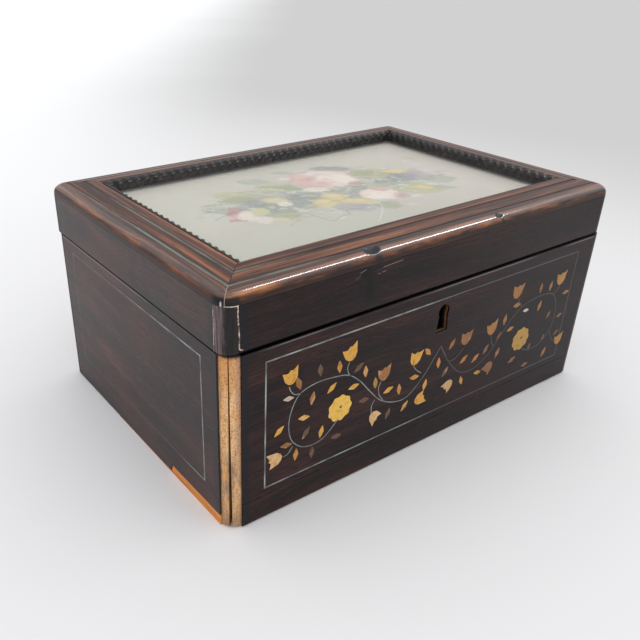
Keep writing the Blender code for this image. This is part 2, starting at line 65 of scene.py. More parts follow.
def srgb(red: float, green: float, blue: float) -> Colour:
    """Turn a colour as a picture shows it into the linear colour that a shader takes.

    Args:
        red: Red, from 0 to 255.
        green: Green, from 0 to 255.
        blue: Blue, from 0 to 255.

    Returns:
        The linear colour, with an alpha of 1.
    """
    def linear(level: float) -> float:
        """Undo the display curve for one channel."""
        share = level / 255
        return share / 12.92 if share <= 0.04045 else ((share + 0.055) / 1.055) ** 2.4

    return linear(red), linear(green), linear(blue), 1.0


class Grain(Enum):
    """The way that the grain of a piece of wood runs, as an axis of the part."""

    ALONG_X = 0
    ALONG_Y = 1
    ALONG_Z = 2

    def stretch(self, along: float, across: float) -> Vector:
        """Scales that draw a pattern out along the grain.

        Args:
            along: Features per metre along the grain.
            across: Features per metre across it.

        Returns:
            One scale for each axis.
        """
        scales = Vector((across, across, across))
        scales[self.value] = along
        return scales

    def move(self, reach: float) -> Vector:
        """A move of the given reach along the grain's axis."""
        return self.stretch(reach, 0.0)


class Finish(Protocol):
    """Anything that makes a material."""

    def make(self) -> bpy.types.Material:
        """Build the material."""


class Blend(Enum):
    """The ways that a Mix node puts one colour on another."""

    MIX = "MIX"
    MULTIPLY = "MULTIPLY"
    SCREEN = "SCREEN"


class Flow:
    """An output socket, on which Python arithmetic adds Math nodes."""

    def __init__(self, sheet: "Sheet", socket: bpy.types.NodeSocket) -> None:
        """Keep the socket and the sheet that it belongs to."""
        self.sheet = sheet
        self.socket = socket

    def _math(self, operation: str, first: "Flow | float", second: "Flow | float" = 0.0) -> "Flow":
        """Add one Math node with two values."""
        return self.sheet.node(
            "ShaderNodeMath", {"operation": operation}, {0: first, 1: second})

    def __add__(self, other: "Flow | float") -> "Flow":
        """self + other."""
        return self._math("ADD", self, other)

    def __radd__(self, other: float) -> "Flow":
        """other + self."""
        return self._math("ADD", other, self)

    def __sub__(self, other: "Flow | float") -> "Flow":
        """self - other."""
        return self._math("SUBTRACT", self, other)

    def __rsub__(self, other: float) -> "Flow":
        """other - self."""
        return self._math("SUBTRACT", other, self)

    def __mul__(self, other: "Flow | float") -> "Flow":
        """self * other."""
        return self._math("MULTIPLY", self, other)

    def __rmul__(self, other: float) -> "Flow":
        """other * self."""
        return self._math("MULTIPLY", other, self)

    def __truediv__(self, other: "Flow | float") -> "Flow":
        """self / other."""
        return self._math("DIVIDE", self, other)

    def __pow__(self, other: float) -> "Flow":
        """self ** other."""
        return self._math("POWER", self, other)

    def __abs__(self) -> "Flow":
        """The size of the value without its sign."""
        return self._math("ABSOLUTE", self)

    def most(self, other: "Flow | float") -> "Flow":
        """The larger of the two values."""
        return self._math("MAXIMUM", self, other)

    def rise(self, start: float, end: float) -> "Flow":
        """A smooth step from 0 at start to 1 at end, or down again where end is the lower.

        Args:
            start: The value at which the step begins.
            end: The value at which it is complete.

        Returns:
            A value from 0 to 1.
        """
        low, high = min(start, end), max(start, end)
        step = self.sheet.node(
            "ShaderNodeMapRange", {"interpolation_type": "SMOOTHSTEP"},
            {"Value": self, "From Min": low, "From Max": high})
        return step if start < end else 1 - step

    def coat(self, share: "Flow | float", red: int, green: int, blue: int,
             blend: Blend = Blend.MIX) -> "Flow":
        """Lay a plain colour over this one.

        Args:
            share: How much of the plain colour shows.
            red: Its red, from 0 to 255.
            green: Its green.
            blue: Its blue.
            blend: How the two are put together.

        Returns:
            The mixed colour.
        """
        return self.sheet.mix(share, self, srgb(red, green, blue), blend)

    def band(self, low: float, high: float, soft: float) -> "Flow":
        """1 between two values and 0 outside them.

        Args:
            low: The lower edge.
            high: The upper edge.
            soft: How wide each edge fades.

        Returns:
            A value from 0 to 1.
        """
        return self.rise(low - soft, low + soft) * self.rise(high + soft, high - soft)


class Sheet:
    """The node tree of one material or of the studio's air."""

    def __init__(self, owner: bpy.types.Material | bpy.types.World) -> None:
        """Start an empty node tree.

        Args:
            owner: The material or world that the nodes belong to.
        """
        owner.use_nodes = True
        self.owner = owner
        self.tree = owner.node_tree
        self.tree.nodes.clear()

    @classmethod
    def named(cls, name: str) -> "Sheet":
        """Start the node tree of a new material."""
        return cls(bpy.data.materials.new(name))

    def node(self, kind: str, settings: dict | None = None,
             inputs: dict | None = None, output: int | str = 0) -> Flow:
        """Add one node.

        Args:
            kind: The node's type.
            settings: Its options, such as operation, or stops for a ramp.
            inputs: Values or flows for its sockets, by name, identifier or number.
            output: Which of its outputs is wanted.

        Returns:
            The wanted output.
        """
        made = self.tree.nodes.new(kind)
        for key, value in (settings or {}).items():
            if key == "stops":
                self._set_stops(made.color_ramp, value)
            else:
                setattr(made, key, value)
        for key, value in (inputs or {}).items():
            socket = self._find(made.inputs, key)
            if isinstance(value, Flow):
                self.tree.links.new(value.socket, socket)
            else:
                socket.default_value = value
        return Flow(self, self._find(made.outputs, output))

    @staticmethod
    def _find(sockets: bpy.types.NodeInputs, key: int | str) -> bpy.types.NodeSocket:
        """Find a socket.

        Args:
            sockets: A node's inputs or outputs.
            key: The socket's number, identifier or name.

        Returns:
            The socket.
        """
        if isinstance(key, int):
            return sockets[key]
        same = [socket for socket in sockets if socket.identifier == key]
        return same[0] if same else sockets[key]

    @staticmethod
    def _set_stops(ramp: bpy.types.ColorRamp, stops: tuple) -> None:
        """Give a colour ramp its stops.

        Args:
            ramp: The ramp.
            stops: Positions, each with a red, a green and a blue.
        """
        while len(ramp.elements) < len(stops):
            ramp.elements.new(1.0)
        for element, (position, *colour) in zip(ramp.elements, stops):
            element.position = position
            element.color = srgb(*colour)

    def place(self) -> Flow:
        """Where a point of the part is at rest, in metres."""
        return self.node("ShaderNodeTexCoord", output="Object")

    def axes(self) -> tuple[Flow, Flow, Flow]:
        """The three coordinates of a point at rest, in metres."""
        return self.split(self.place())

    def split(self, vector: Flow) -> tuple[Flow, Flow, Flow]:
        """The three parts of a vector."""
        outputs = self.node("ShaderNodeSeparateXYZ", inputs={0: vector}).socket.node.outputs
        return Flow(self, outputs[0]), Flow(self, outputs[1]), Flow(self, outputs[2])

    def scaled(self, vector: Flow, scales: Vector) -> Flow:
        """Multiply a vector by one scale for each axis."""
        return self.node("ShaderNodeVectorMath", {"operation": "MULTIPLY"},
                         {0: vector, 1: tuple(scales)})

    def shifted(self, vector: Flow, drift: Flow, amount: Vector) -> Flow:
        """Move a vector along a fixed direction by a varying amount.

        Args:
            vector: The vector to move.
            drift: How far it moves, from 0 to 1 about 0.5.
            amount: The move for a drift of 1.

        Returns:
            The moved vector.
        """
        move = self.node("ShaderNodeVectorMath", {"operation": "SCALE"},
                         {0: tuple(amount), "Scale": drift - 0.5})
        return self.node("ShaderNodeVectorMath", {"operation": "ADD"}, {0: vector, 1: move})

    def noise(self, vector: Flow, scale: float = 1.0, detail: float = 3.0,
              roughness: float = 0.5) -> Flow:
        """A cloudy pattern.

        Args:
            vector: Where the pattern is read.
            scale: Features for each unit of the vector.
            detail: How many finer layers are added.
            roughness: How strong the finer layers are.

        Returns:
            A value from 0 to 1, mostly about 0.5.
        """
        return self.node("ShaderNodeTexNoise", None, {
            "Vector": vector, "Scale": scale, "Detail": detail, "Roughness": roughness}, "Fac")

    def fibres(self, vector: Flow, grain: Grain, along: float, across: float,
               detail: float = 3.0, roughness: float = 0.5) -> Flow:
        """A cloudy pattern drawn out along the grain.

        Args:
            vector: Where the pattern is read.
            grain: The way that it is drawn out.
            along: Features per metre along the grain.
            across: Features per metre across it.
            detail: How many finer layers are added.
            roughness: How strong the finer layers are.

        Returns:
            A value from 0 to 1, mostly about 0.5.
        """
        drawn = self.scaled(vector, grain.stretch(along, across))
        return self.noise(drawn, 1.0, detail, roughness)

    def painted(self, attribute: str) -> Flow:
        """The colour that a piece carries in its own attribute."""
        return self.node("ShaderNodeAttribute", {"attribute_name": attribute}, output="Color")

    def specks(self, vector: Flow, scale: float, size: float) -> Flow:
        """Small spots scattered over a surface.

        Args:
            vector: Where the pattern is read.
            scale: Spots for each unit of the vector.
            size: The radius of a spot as a share of the distance between spots.

        Returns:
            1 on a spot and 0 between spots.
        """
        distance = self.node("ShaderNodeTexVoronoi", None,
                             {"Vector": vector, "Scale": scale, "Randomness": 1.0}, "Distance")
        return distance.rise(size, size * 0.45)

    def ramp(self, value: Flow, *stops: tuple[float, int, int, int]) -> Flow:
        """Turn a value into a colour by way of a ramp.

        Args:
            value: The value.
            stops: The ramp's positions, each with a red, a green and a blue from 0 to 255.

        Returns:
            The colour.
        """
        return self.node("ShaderNodeValToRGB", {"stops": stops}, {"Fac": value}, "Color")

    def mix(self, share: Flow | float, under: Flow | Colour, over: Flow | Colour,
            blend: Blend = Blend.MIX) -> Flow:
        """Lay one colour over another.

        Args:
            share: How much of the upper colour shows.
            under: The lower colour.
            over: The upper colour.
            blend: How the two are put together.

        Returns:
            The mixed colour.
        """
        settings = {"data_type": "RGBA", "blend_type": blend.value, "clamp_factor": True}
        inputs = {"Factor_Float": share, "A_Color": under, "B_Color": over}
        return self.node("ShaderNodeMix", settings, inputs, "Result_Color")

    def bump(self, height: Flow, depth: float) -> Flow:
        """Turn a height from 0 to 1 into a surface normal for relief of the given depth."""
        return self.node("ShaderNodeBump", None,
                         {"Strength": 1.0, "Distance": depth, "Height": height}, "Normal")

    def finish(self, colour: Flow | Colour, roughness: Flow | float,
               relief: Flow | None = None, depth: float = 0.0,
               **plain: Flow | float) -> bpy.types.Material:
        """Close the sheet with a Principled shader.

        Args:
            colour: Base colour.
            roughness: Roughness.
            relief: Height of the surface from 0 to 1, where it has relief.
            depth: The depth of that relief.
            plain: Other sockets of the shader by name, with _ for a space.

        Returns:
            The finished material.
        """
        inputs = {"Base Color": colour, "Roughness": roughness}
        if relief is not None:
            inputs["Normal"] = self.bump(relief, depth)
        for key, value in plain.items():
            inputs[key.replace("_", " ")] = value
        self.close("ShaderNodeOutputMaterial", self.node("ShaderNodeBsdfPrincipled", None, inputs))
        return self.owner

    def close(self, kind: str, surface: Flow) -> None:
        """Link the finished surface to the tree's output node of the given type."""
        out = self.tree.nodes.new(kind)
        self.tree.links.new(surface.socket, out.inputs["Surface"])


def keyhole_shade(x: Flow, y: Flow, z: Flow) -> Flow:
    """How deep in the painted shade of the keyhole a point lies.

    Args:
        x: Object X.
        y: Object Y.
        z: Object Z.

    Returns:
        0 at the front and outside the hole, 1 from half way in.
    """
    half, middle, back = 7 * MM, 74 * MM, -60 * MM
    foot = z.rise(middle - half, middle - half - 1 * MM)
    return (abs(x).rise(half + 1 * MM, half) * abs(z - middle).rise(half + 5 * MM, half + 4 * MM)
            * y.rise(FRONT + 0.2 * MM, FRONT + 3.0 * MM).most(foot) * y.rise(back, back - 10 * MM))


@dataclass(frozen=True)
class RosewoodVeneer:
    """Dark polished rosewood veneer with fine straight grain."""

    name: str
    grain: Grain
    across: Grain
    warmth: float = 0.3
    gloss: float = 0.36
    shine: float = 0.24
    # Half the width of the painted shade along the seam.
    seam_half: float = 1.0 * MM
    stained: bool = False
    # How far the whole veneer is darkened: painted shade on the front-facing veneers.
    depth: float = 0.0
    # Painted reflection: how strong a grey veil over the veneer grows towards its right end.
    sheen_to_right: float = 0.5
    # Near this corner the veneer takes a bluish black painted dark reflection.
    front_edge: Point = (-117.6 * MM, -79.0 * MM)
    scratches: tuple = ((-44.5, -32.5, 111.9, 0.06), (-58.2, -54.4, 112.1, 0.3),
                        (-60.5, -57.5, 109.6, 0.5), (-47.0, -42.5, 109.4, 0.1))

    def make(self) -> bpy.types.Material:
        """Build the veneer's material.

        Returns:
            The material.
        """
        sheet = Sheet.named(self.name)
        place = sheet.place()
        x, y, height = sheet.axes()
        sway = sheet.fibres(place, self.grain, 9, 24, 1.5)
        bent = sheet.shifted(place, sway, self.across.move(16 * MM))
        bands = sheet.fibres(bent, self.grain, 9, 95, 2, 0.5)
        streaks = sheet.fibres(bent, self.grain, 26, 760, 3, 0.65)
        pores = sheet.fibres(bent, self.grain, 150, 2400, 2)
        flecks = sheet.fibres(bent, self.grain, 90, 1500, 1)
        clouds = sheet.fibres(place, self.grain, 16, 30, 2)
        figure = bands * 0.5 + streaks * 0.5
        colour = sheet.ramp(
            figure, (0.35, 17, 10, 13), (0.45, 33, 18, 19), (0.54, 50, 28, 27), (0.67, 80, 46, 40))
        warm = colour.coat(clouds.rise(0.48, 0.7) * self.warmth, 72, 32, 28, Blend.SCREEN)
        flecked = warm.coat(flecks.rise(0.62, 0.7) * 0.45, 98, 62, 48)
        lined = flecked.coat(pores.rise(0.45, 0.36) * 0.8, 12, 9, 10)
        # Painted shade: the whole veneer darkened by depth.
        deep = lined.coat(self.depth, 7, 6, 7)
        # Painted reflection: grey laid over the veneer towards its right end.
        sheened = deep.coat(x.rise(-30 * MM, 90 * MM) * self.sheen_to_right, 40, 36, 37)
        # Painted dark reflection: bluish black near the front left corner.
        edge = ((x - self.front_edge[0]).rise(3.6 * MM, 0.6 * MM)
                * (y - self.front_edge[1]).rise(3.6 * MM, 0.6 * MM))
        wear_and_reflection = sheened.coat(edge * 0.8, 20, 20, 27)
        marked = self._knocks(sheet, place, wear_and_reflection, x, height) if self.stained else wear_and_reflection
        # Painted shade: near black along the seam between lid and case, with Metallic raised there
        # so that it shows no gloss.
        seam_shade = abs(height - SEAM).rise(self.seam_half * 1.25, self.seam_half * 0.75)
        with_painted_shade = marked.coat(seam_shade, 3, 2, 3)
        # Painted highlight: a pale line along the case's top arris, 1.7 mm below the seam.
        wear_and_highlight = (height - SEAM + 1.7 * MM).band(-0.3 * MM, 0.3 * MM, 0.2 * MM)
        arris = with_painted_shade.coat(wear_and_highlight * clouds.rise(0.4, 0.55) * 0.5, 140, 134, 138)
        relief = pores.rise(0.36, 0.5) * 0.7 + streaks * 0.3
        roughness = self.gloss + 0.12 * streaks + 0.08 * clouds
        return sheet.finish(arris, roughness, relief, 0.05 * MM,
                            Specular_IOR_Level=self.shine, Metallic=seam_shade)

    def _knocks(self, sheet: Sheet, place: Flow, under: Flow, x: Flow, height: Flow) -> Flow:
        """Draw the dark smudge and pale scratches below the chip in the lid's front.

        Args:
            sheet: The material's nodes.
            place: Object coordinates.
            under: The colour so far.
            x: Their X.
            height: Their Z.

        Returns:
            The marked colour.
        """
        ragged = sheet.fibres(place, Grain.ALONG_Z, 90, 260, 4, 0.65)
        lean = x + (height - 105 * MM) * 0.25 + (ragged - 0.5) * 12 * MM
        smudge = lean.band(-55.5 * MM, -48.5 * MM, 2.2 * MM) * height.rise(94 * MM, 101 * MM)
        dark = under.coat(smudge * ragged.rise(0.3, 0.5) * 0.95, 8, 7, 9)
        for start, end, level, slope in self.scratches:
            line = abs(height - level * MM - (x - start * MM) * slope).rise(0.22 * MM, 0.06 * MM)
            scratch = line * x.band(start * MM, end * MM, 0.4 * MM) * ragged.rise(0.36, 0.52)
            dark = dark.coat(scratch * 0.7, 160, 142, 130)
        return dark


@dataclass(frozen=True)
class Scoop:
    """A chip in the crest of the front moulding."""

    x: float
    inset: float
    half_length: float
    half_width: float
    depth: float


@dataclass(frozen=True)
class RosewoodMoulding:
    """Redder polished rosewood of the lid's frame: painted shade and dust, part painted sheen, in
    the grooves; an amber rounded edge.
    """

    name: str
    grain: Grain
    outer_face: float
    inward: float
    crest: float
    middle: Point
    half: Point
    amber: float = 0.8
    # How strong the small painted highlight by the front left corner is.
    painted_glint: float = 0.0
    chips: tuple[Scoop, ...] = ()
    # How far from the front left corner the grooves show pale dust, partly painted sheen.
    dust_and_sheen_reach: float = 50 * MM
    glued_reach: float = 8.3 * MM

    def make(self) -> bpy.types.Material:
        """Build the moulding's material.

        Returns:
            The material.
        """
        sheet = Sheet.named(self.name)
        place = sheet.place()
        x, y, z = sheet.axes()
        lengthwise = self.grain is Grain.ALONG_X
        reach = ((y if lengthwise else x) - self.outer_face) * self.inward
        sway = sheet.fibres(place, self.grain, 10, 40, 1.5)
        sideways = Grain.ALONG_Y if lengthwise else Grain.ALONG_X
        bent = sheet.shifted(place, sway, sideways.move(6 * MM))
        bands = sheet.fibres(bent, self.grain, 6, 290, 3, 0.6)
        streaks = sheet.fibres(bent, self.grain, 20, 1300, 3, 0.7)
        pores = sheet.fibres(bent, self.grain, 110, 2600, 2)
        blotches = sheet.fibres(place, self.grain, 34, 240, 4, 0.65)
        figure = bands * 0.6 + streaks * 0.4
        colour = sheet.ramp(
            figure,
            (0.37, 24, 16, 16), (0.45, 64, 36, 28), (0.53, 110, 66, 46), (0.64, 158, 102, 68))
        lined = colour.coat(pores.rise(0.43, 0.34) * 0.6, 26, 17, 17)
        low = z.rise(self.crest - 0.7 * MM, self.crest - 1.6 * MM)
        edge = sheet.ramp(
            blotches,
            (0.38, 18, 12, 12), (0.46, 58, 29, 17), (0.55, 112, 60, 26), (0.68, 176, 110, 40))
        ambered = sheet.mix(low * self.amber, lined, edge)
        # Darker towards the foot of the rounded edge.
        shaded_and_dusted = ambered.coat(z.rise(self.crest - 2.4 * MM, self.crest - 4.3 * MM) * 0.9,
                             36, 22, 18)
        away = x + y - (self.middle[0] - self.half[0]) - (self.middle[1] - self.half[1])
        sheen_and_dust_share = away.rise(self.dust_and_sheen_reach * 1.5, self.dust_and_sheen_reach * 0.8)
        for groove in GROOVES:
            off = abs(reach - groove)
            # Painted shade: dark lines in the grooves. Pale grey dust in them near the front left
            # corner, partly painted sheen.
            black = off.rise(GROOVE_HALF * 1.5, GROOVE_HALF)
            grey = off.rise(GROOVE_HALF * 1.05, GROOVE_HALF * 0.55)
            shaded_and_dusted = shaded_and_dusted.coat(black * 0.65, 34, 29, 30)
            shaded_and_dusted = shaded_and_dusted.coat(grey * sheen_and_dust_share * blotches.rise(0.25, 0.6) * 0.9, 120, 124, 116)
        mitred = self._mitre(sheet, shaded_and_dusted, x, y, reach)
        chipped = self._chipped(sheet, mitred, x, reach)
        roughness = 0.38 + 0.14 * streaks
        relief = pores.rise(0.34, 0.5) * 0.7 + streaks * 0.3
        crown = z.band(self.crest - 2.2 * MM, self.crest - 0.25 * MM, 0.35 * MM)
        polish = 0.1 + (0.7 + 0.3 * blotches) * crown
        for chip in self.chips:
            polish = polish * self._off_chip(x, reach, chip).rise(0.7, 1.2)
        return sheet.finish(chipped, roughness, relief, 0.03 * MM,
                            Specular_IOR_Level=0.24, Coat_Weight=polish, Coat_Roughness=0.1)

    @staticmethod
    def _off_chip(x: Flow, reach: Flow, chip: Scoop) -> Flow:
        """How far a point is from a chip's middle, with its rim at 1."""
        return (((x - chip.x) / chip.half_length) ** 2
                + ((reach - chip.inset) / chip.half_width) ** 2) ** 0.5

    def _mitre(self, sheet: Sheet, under: Flow, x: Flow, y: Flow, reach: Flow) -> Flow:
        """Draw the mitre joints, with pale glue in the front left one near its outer end, and a
        painted dark reflection and a small painted highlight near that corner.

        Args:
            sheet: The material's nodes.
            under: The colour so far.
            x: Object X.
            y: Object Y.
            reach: The distance from the outer face.

        Returns:
            The colour with the joints.
        """
        end_gap = self.half[0] - abs(x - self.middle[0])
        side_gap = self.half[1] - abs(y - self.middle[1])
        off = abs(end_gap - side_gap)
        dark = under.coat(off.rise(0.45 * MM, 0.15 * MM) * 0.85, 22, 13, 12)
        front_left = ((self.middle[0] - x).rise(0.0, 1 * MM)
                      * (self.middle[1] - y).rise(0.0, 1 * MM))
        fall = sheet.axes()[2].rise(self.crest - 1.2 * MM, self.crest - 2.6 * MM)
        near = end_gap.most(side_gap).rise(9.5 * MM, 7.0 * MM)
        # Painted dark reflection: black on the low part of the rounded edge near the front left
        # corner.
        black = dark.coat(fall * near * front_left * 0.95, 12, 10, 11)
        glued = (off.rise(0.32 * MM, 0.1 * MM) * front_left
                 * reach.rise(self.glued_reach, self.glued_reach - 0.5 * MM))
        lined = black.coat(glued * 0.7, 172, 158, 146)
        # Painted highlight: a small pale pink spot on that black.
        spot = (((reach - 1.0 * MM) / (0.5 * MM)) ** 2
                + ((side_gap - 3.2 * MM) / (0.5 * MM)) ** 2) ** 0.5
        return lined.coat(spot.rise(1.3, 0.4) * front_left * self.painted_glint, 214, 202, 214)

    def _chipped(self, sheet: Sheet, under: Flow, x: Flow, reach: Flow) -> Flow:
        """Darken the chips and the crack that runs down from each.

        Args:
            sheet: The material's nodes.
            under: The colour so far.
            x: Object X.
            reach: The distance from the outer face.

        Returns:
            The colour with the chips.
        """
        for chip in self.chips:
            under = under.coat(self._off_chip(x, reach, chip).rise(1.15, 0.85), 26, 22, 26)
            crack = (abs(x - chip.x - chip.half_length * 0.2).rise(chip.half_length * 0.7,
                                                                   chip.half_length * 0.15)
                     * reach.rise(chip.inset, chip.inset - 1 * MM))
            under = under.coat(crack * 0.9, 20, 16, 17)
        return under


@dataclass(frozen=True)
class PolishedCorner:
    """Black polished corner piece, with a pinkish grey painted sheen on its left."""

    name: str
    middle: Point

    def make(self) -> bpy.types.Material:
        """Build the corner's material.

        Returns:
            The material.
        """
        sheet = Sheet.named(self.name)
        place = sheet.place()
        x, y, _ = sheet.axes()
        round_corner = (x - self.middle[0]) - (y - self.middle[1])
        streaks = sheet.fibres(place, Grain.ALONG_Z, 70, 900, 3, 0.7)
        scuffs = sheet.fibres(place, Grain.ALONG_Z, 260, 420, 4, 0.7)
        black = sheet.ramp(streaks, (0.35, 10, 9, 10), (0.6, 30, 24, 25))
        # Painted sheen: streaked pinkish grey mixed over the left of the rounded corner.
        wear_and_reflection = sheet.ramp(streaks, (0.36, 44, 36, 38), (0.55, 104, 86, 88), (0.7, 150, 130, 130))
        share = (round_corner + (scuffs - 0.5) * 6 * MM).rise(1.2 * MM, -2.6 * MM)
        return sheet.finish(sheet.mix(share * 0.75, black, wear_and_reflection), 0.16 + 0.2 * scuffs,
                            scuffs, 0.06 * MM, Specular_IOR_Level=0.3)


@dataclass(frozen=True)
class BareSoftwood:
    """Old bare softwood, spotted with glue where the corner veneer has come away, with painted
    shade along the seam and in the keyhole.
    """

    name: str
    grain: Grain
    corner: Point = (-126.5 * MM, FRONT)
    corner_reach: float = 9.0 * MM

    def make(self) -> bpy.types.Material:
        """Build the softwood's material.

        Returns:
            The material.
        """
        sheet = Sheet.named(self.name)
        place = sheet.place()
        x, y, z = sheet.axes()
        rings = sheet.fibres(place, self.grain, 8, 420, 3, 0.6)
        clouds = sheet.noise(place, 90, detail=3)
        colour = sheet.ramp(rings, (0.32, 126, 78, 44), (0.5, 170, 114, 68), (0.68, 200, 148, 96))
        aged = colour.coat(clouds.rise(0.5, 0.72) * 0.5, 120, 92, 74)
        skin = self._glued_skin(sheet, place, x, z)
        bare = ((x - self.corner[0]).rise(self.corner_reach, self.corner_reach * 0.9)
                * (y - self.corner[1]).rise(self.corner_reach, self.corner_reach * 0.9))
        shown = sheet.mix(bare, aged, skin)
        # Painted shade: near black along the seam between lid and case, and inside the keyhole.
        with_painted_shade = shown.coat(abs(z - SEAM).rise(3.0 * MM, 0.9 * MM), 9, 7, 7)
        with_painted_shade = with_painted_shade.coat(keyhole_shade(x, y, z), 6, 4, 4)
        roughness = 0.7 + 0.2 * clouds
        relief = rings * 0.5 + clouds * 0.5
        return sheet.finish(with_painted_shade, roughness, relief, 0.1 * MM, Specular_IOR_Level=0.25)

    def _glued_skin(self, sheet: Sheet, place: Flow, x: Flow, z: Flow) -> Flow:
        """The glue-stained surface of the bare corner.

        Args:
            sheet: The material's nodes.
            place: Object coordinates.
            x: Their X.
            z: Their Z.

        Returns:
            The colour of the surface.
        """
        grains = sheet.noise(place, 1300, detail=3, roughness=0.7)
        fibres = sheet.fibres(place, Grain.ALONG_Z, 120, 1500)
        patches = sheet.fibres(place, Grain.ALONG_Z, 60, 150, 4, 0.65)
        tan = sheet.ramp(grains * 0.65 + fibres * 0.35,
                         (0.34, 136, 92, 62), (0.46, 206, 158, 110), (0.6, 240, 200, 148))
        right = x.rise(self.corner[0] + 4.2 * MM, self.corner[0] + 6.4 * MM)
        pinkish = tan.coat(right * z.rise(20 * MM, 50 * MM) * 0.6, 176, 138, 122)
        orange = pinkish.coat(z.rise(66 * MM, 88 * MM) * (1 - right * 0.6) * 0.55, 190, 124, 70)
        warmed = orange.coat(patches.rise(0.5, 0.62) * 0.5, 212, 152, 90)
        stain = patches.rise(0.6, 0.42) * z.band(18 * MM, 40 * MM, 9 * MM) * (1 - right * 0.5)
        stained = warmed.coat(stain * 0.8, 116, 94, 84)
        foot = z.rise(20 * MM, 3 * MM) * (0.35 + 0.65 * patches)
        aged = stained.coat(foot * 0.8, 112, 86, 70)
        dots = sheet.specks(place, 900, 0.36) * patches.rise(0.4, 0.58) * z.rise(28 * MM, 44 * MM)
        return aged.coat(dots * 0.8, 92, 56, 38)


@dataclass(frozen=True)
class FreshSoftwood:
    """Clean orange softwood edge where the foot of the veneer broke away."""

    name: str

    def make(self) -> bpy.types.Material:
        """Build the softwood's material.

        Returns:
            The material.
        """
        sheet = Sheet.named(self.name)
        place = sheet.place()
        lines = sheet.fibres(place, Grain.ALONG_Y, 18, 900)
        clouds = sheet.fibres(place, Grain.ALONG_Y, 60, 200, 2)
        colour = sheet.ramp(lines, (0.35, 176, 98, 40), (0.5, 208, 130, 60), (0.65, 222, 150, 78))
        wear_and_reflection = colour.coat(clouds.rise(0.55, 0.75) * 0.5, 168, 92, 50)
        return sheet.finish(wear_and_reflection, 0.55 + 0.2 * lines, lines, 0.05 * MM, Specular_IOR_Level=0.3)


@dataclass(frozen=True)
class EbonisedWood:
    """Black stained wood of the ripple strips, dusted and polished in patches."""

    name: str
    grain: Grain

    def make(self) -> bpy.types.Material:
        """Build the ebonised material.

        Returns:
            The material.
        """
        sheet = Sheet.named(self.name)
        place = sheet.place()
        wear_and_highlight = sheet.noise(place, 260, detail=3)
        lines = sheet.fibres(place, self.grain, 60, 1600, 2)
        colour = sheet.ramp(lines, (0.35, 14, 13, 14), (0.65, 40, 35, 34))
        dusted = colour.coat(wear_and_highlight.rise(0.55, 0.75) * 0.4, 84, 76, 72)
        return sheet.finish(dusted, 0.3 + 0.3 * wear_and_highlight, lines, 0.04 * MM, Specular_IOR_Level=0.5)


@dataclass(frozen=True)
class DulledBrass:
    """Old brass gone brown in patches, with painted shade where it lies in the keyhole."""

    name: str

    def make(self) -> bpy.types.Material:
        """Build the brass.

        Returns:
            The material.
        """
        sheet = Sheet.named(self.name)
        place = sheet.place()
        tarnish = sheet.noise(place, 220, detail=4, roughness=0.6)
        scratches = sheet.fibres(place, Grain.ALONG_X, 60, 1800, 2)
        colour = sheet.ramp(tarnish, (0.35, 92, 66, 34), (0.55, 160, 126, 66), (0.7, 196, 164, 96))
        # Painted shade inside the keyhole.
        shaded_in_keyhole = colour.coat(keyhole_shade(*sheet.axes()), 6, 4, 4)
        return sheet.finish(shaded_in_keyhole, 0.3 + 0.35 * tarnish, scratches, 0.03 * MM, Metallic=0.9)


@dataclass(frozen=True)
class PictureGlass:
    """Clear old glass with a faint pale veil."""

    name: str

    def make(self) -> bpy.types.Material:
        """Build the glass.

        Returns:
            The material.
        """
        sheet = Sheet.named(self.name)
        waves = sheet.noise(sheet.place(), 30, detail=1)
        return sheet.finish(srgb(238, 238, 236), 0.04, waves, 0.04 * MM, Alpha=0.1, IOR=1.5)


@dataclass(frozen=True)
class PaintedCard:
    """Card with a painted bouquet, read from the piece's own paint attribute."""

    name: str
    attribute: str

    def make(self) -> bpy.types.Material:
        """Build the card.

        Returns:
            The material.
        """
        sheet = Sheet.named(self.name)
        place = sheet.place()
        paint = sheet.painted(self.attribute)
        tooth = sheet.noise(place, 1500, detail=2)
        age = sheet.noise(place, 28, detail=4, roughness=0.6)
        grained = paint.coat(tooth.rise(0.35, 0.65) * 0.2, 170, 168, 160, Blend.MULTIPLY)
        aged = grained.coat(age.rise(0.42, 0.72) * 0.25, 184, 174, 158)
        return sheet.finish(aged, 0.8 + 0.1 * tooth, tooth, 0.03 * MM, Specular_IOR_Level=0.3)


@dataclass(frozen=True)
class PewterLine:
    """Grey metal of the inlaid lines and the vine."""

    name: str
    dull_from: float = 1.0

    def make(self) -> bpy.types.Material:
        """Build the metal.

        Returns:
            The material.
        """
        sheet = Sheet.named(self.name)
        place = sheet.place()
        x, y, z = sheet.axes()
        patches = sheet.noise(place, 120, detail=3)
        colour = sheet.ramp(patches,
                            (0.35, 96, 100, 98), (0.5, 128, 134, 132), (0.68, 156, 164, 160))
        rightwards = x.rise(self.dull_from - 30 * MM, self.dull_from + 20 * MM)
        backwards = (y.rise(-75 * MM, 45 * MM) * 0.75).most(
            z.rise(20 * MM, 18 * MM) * y.rise(-70 * MM, -40 * MM))
        along = rightwards.most(backwards * x.rise(-120 * MM, -124 * MM))
        dull = colour.coat(along * (0.72 + 0.2 * patches), 62, 56, 58)
        return sheet.finish(dull, 0.45 + 0.2 * patches, patches, 0.02 * MM, Metallic=0.35)


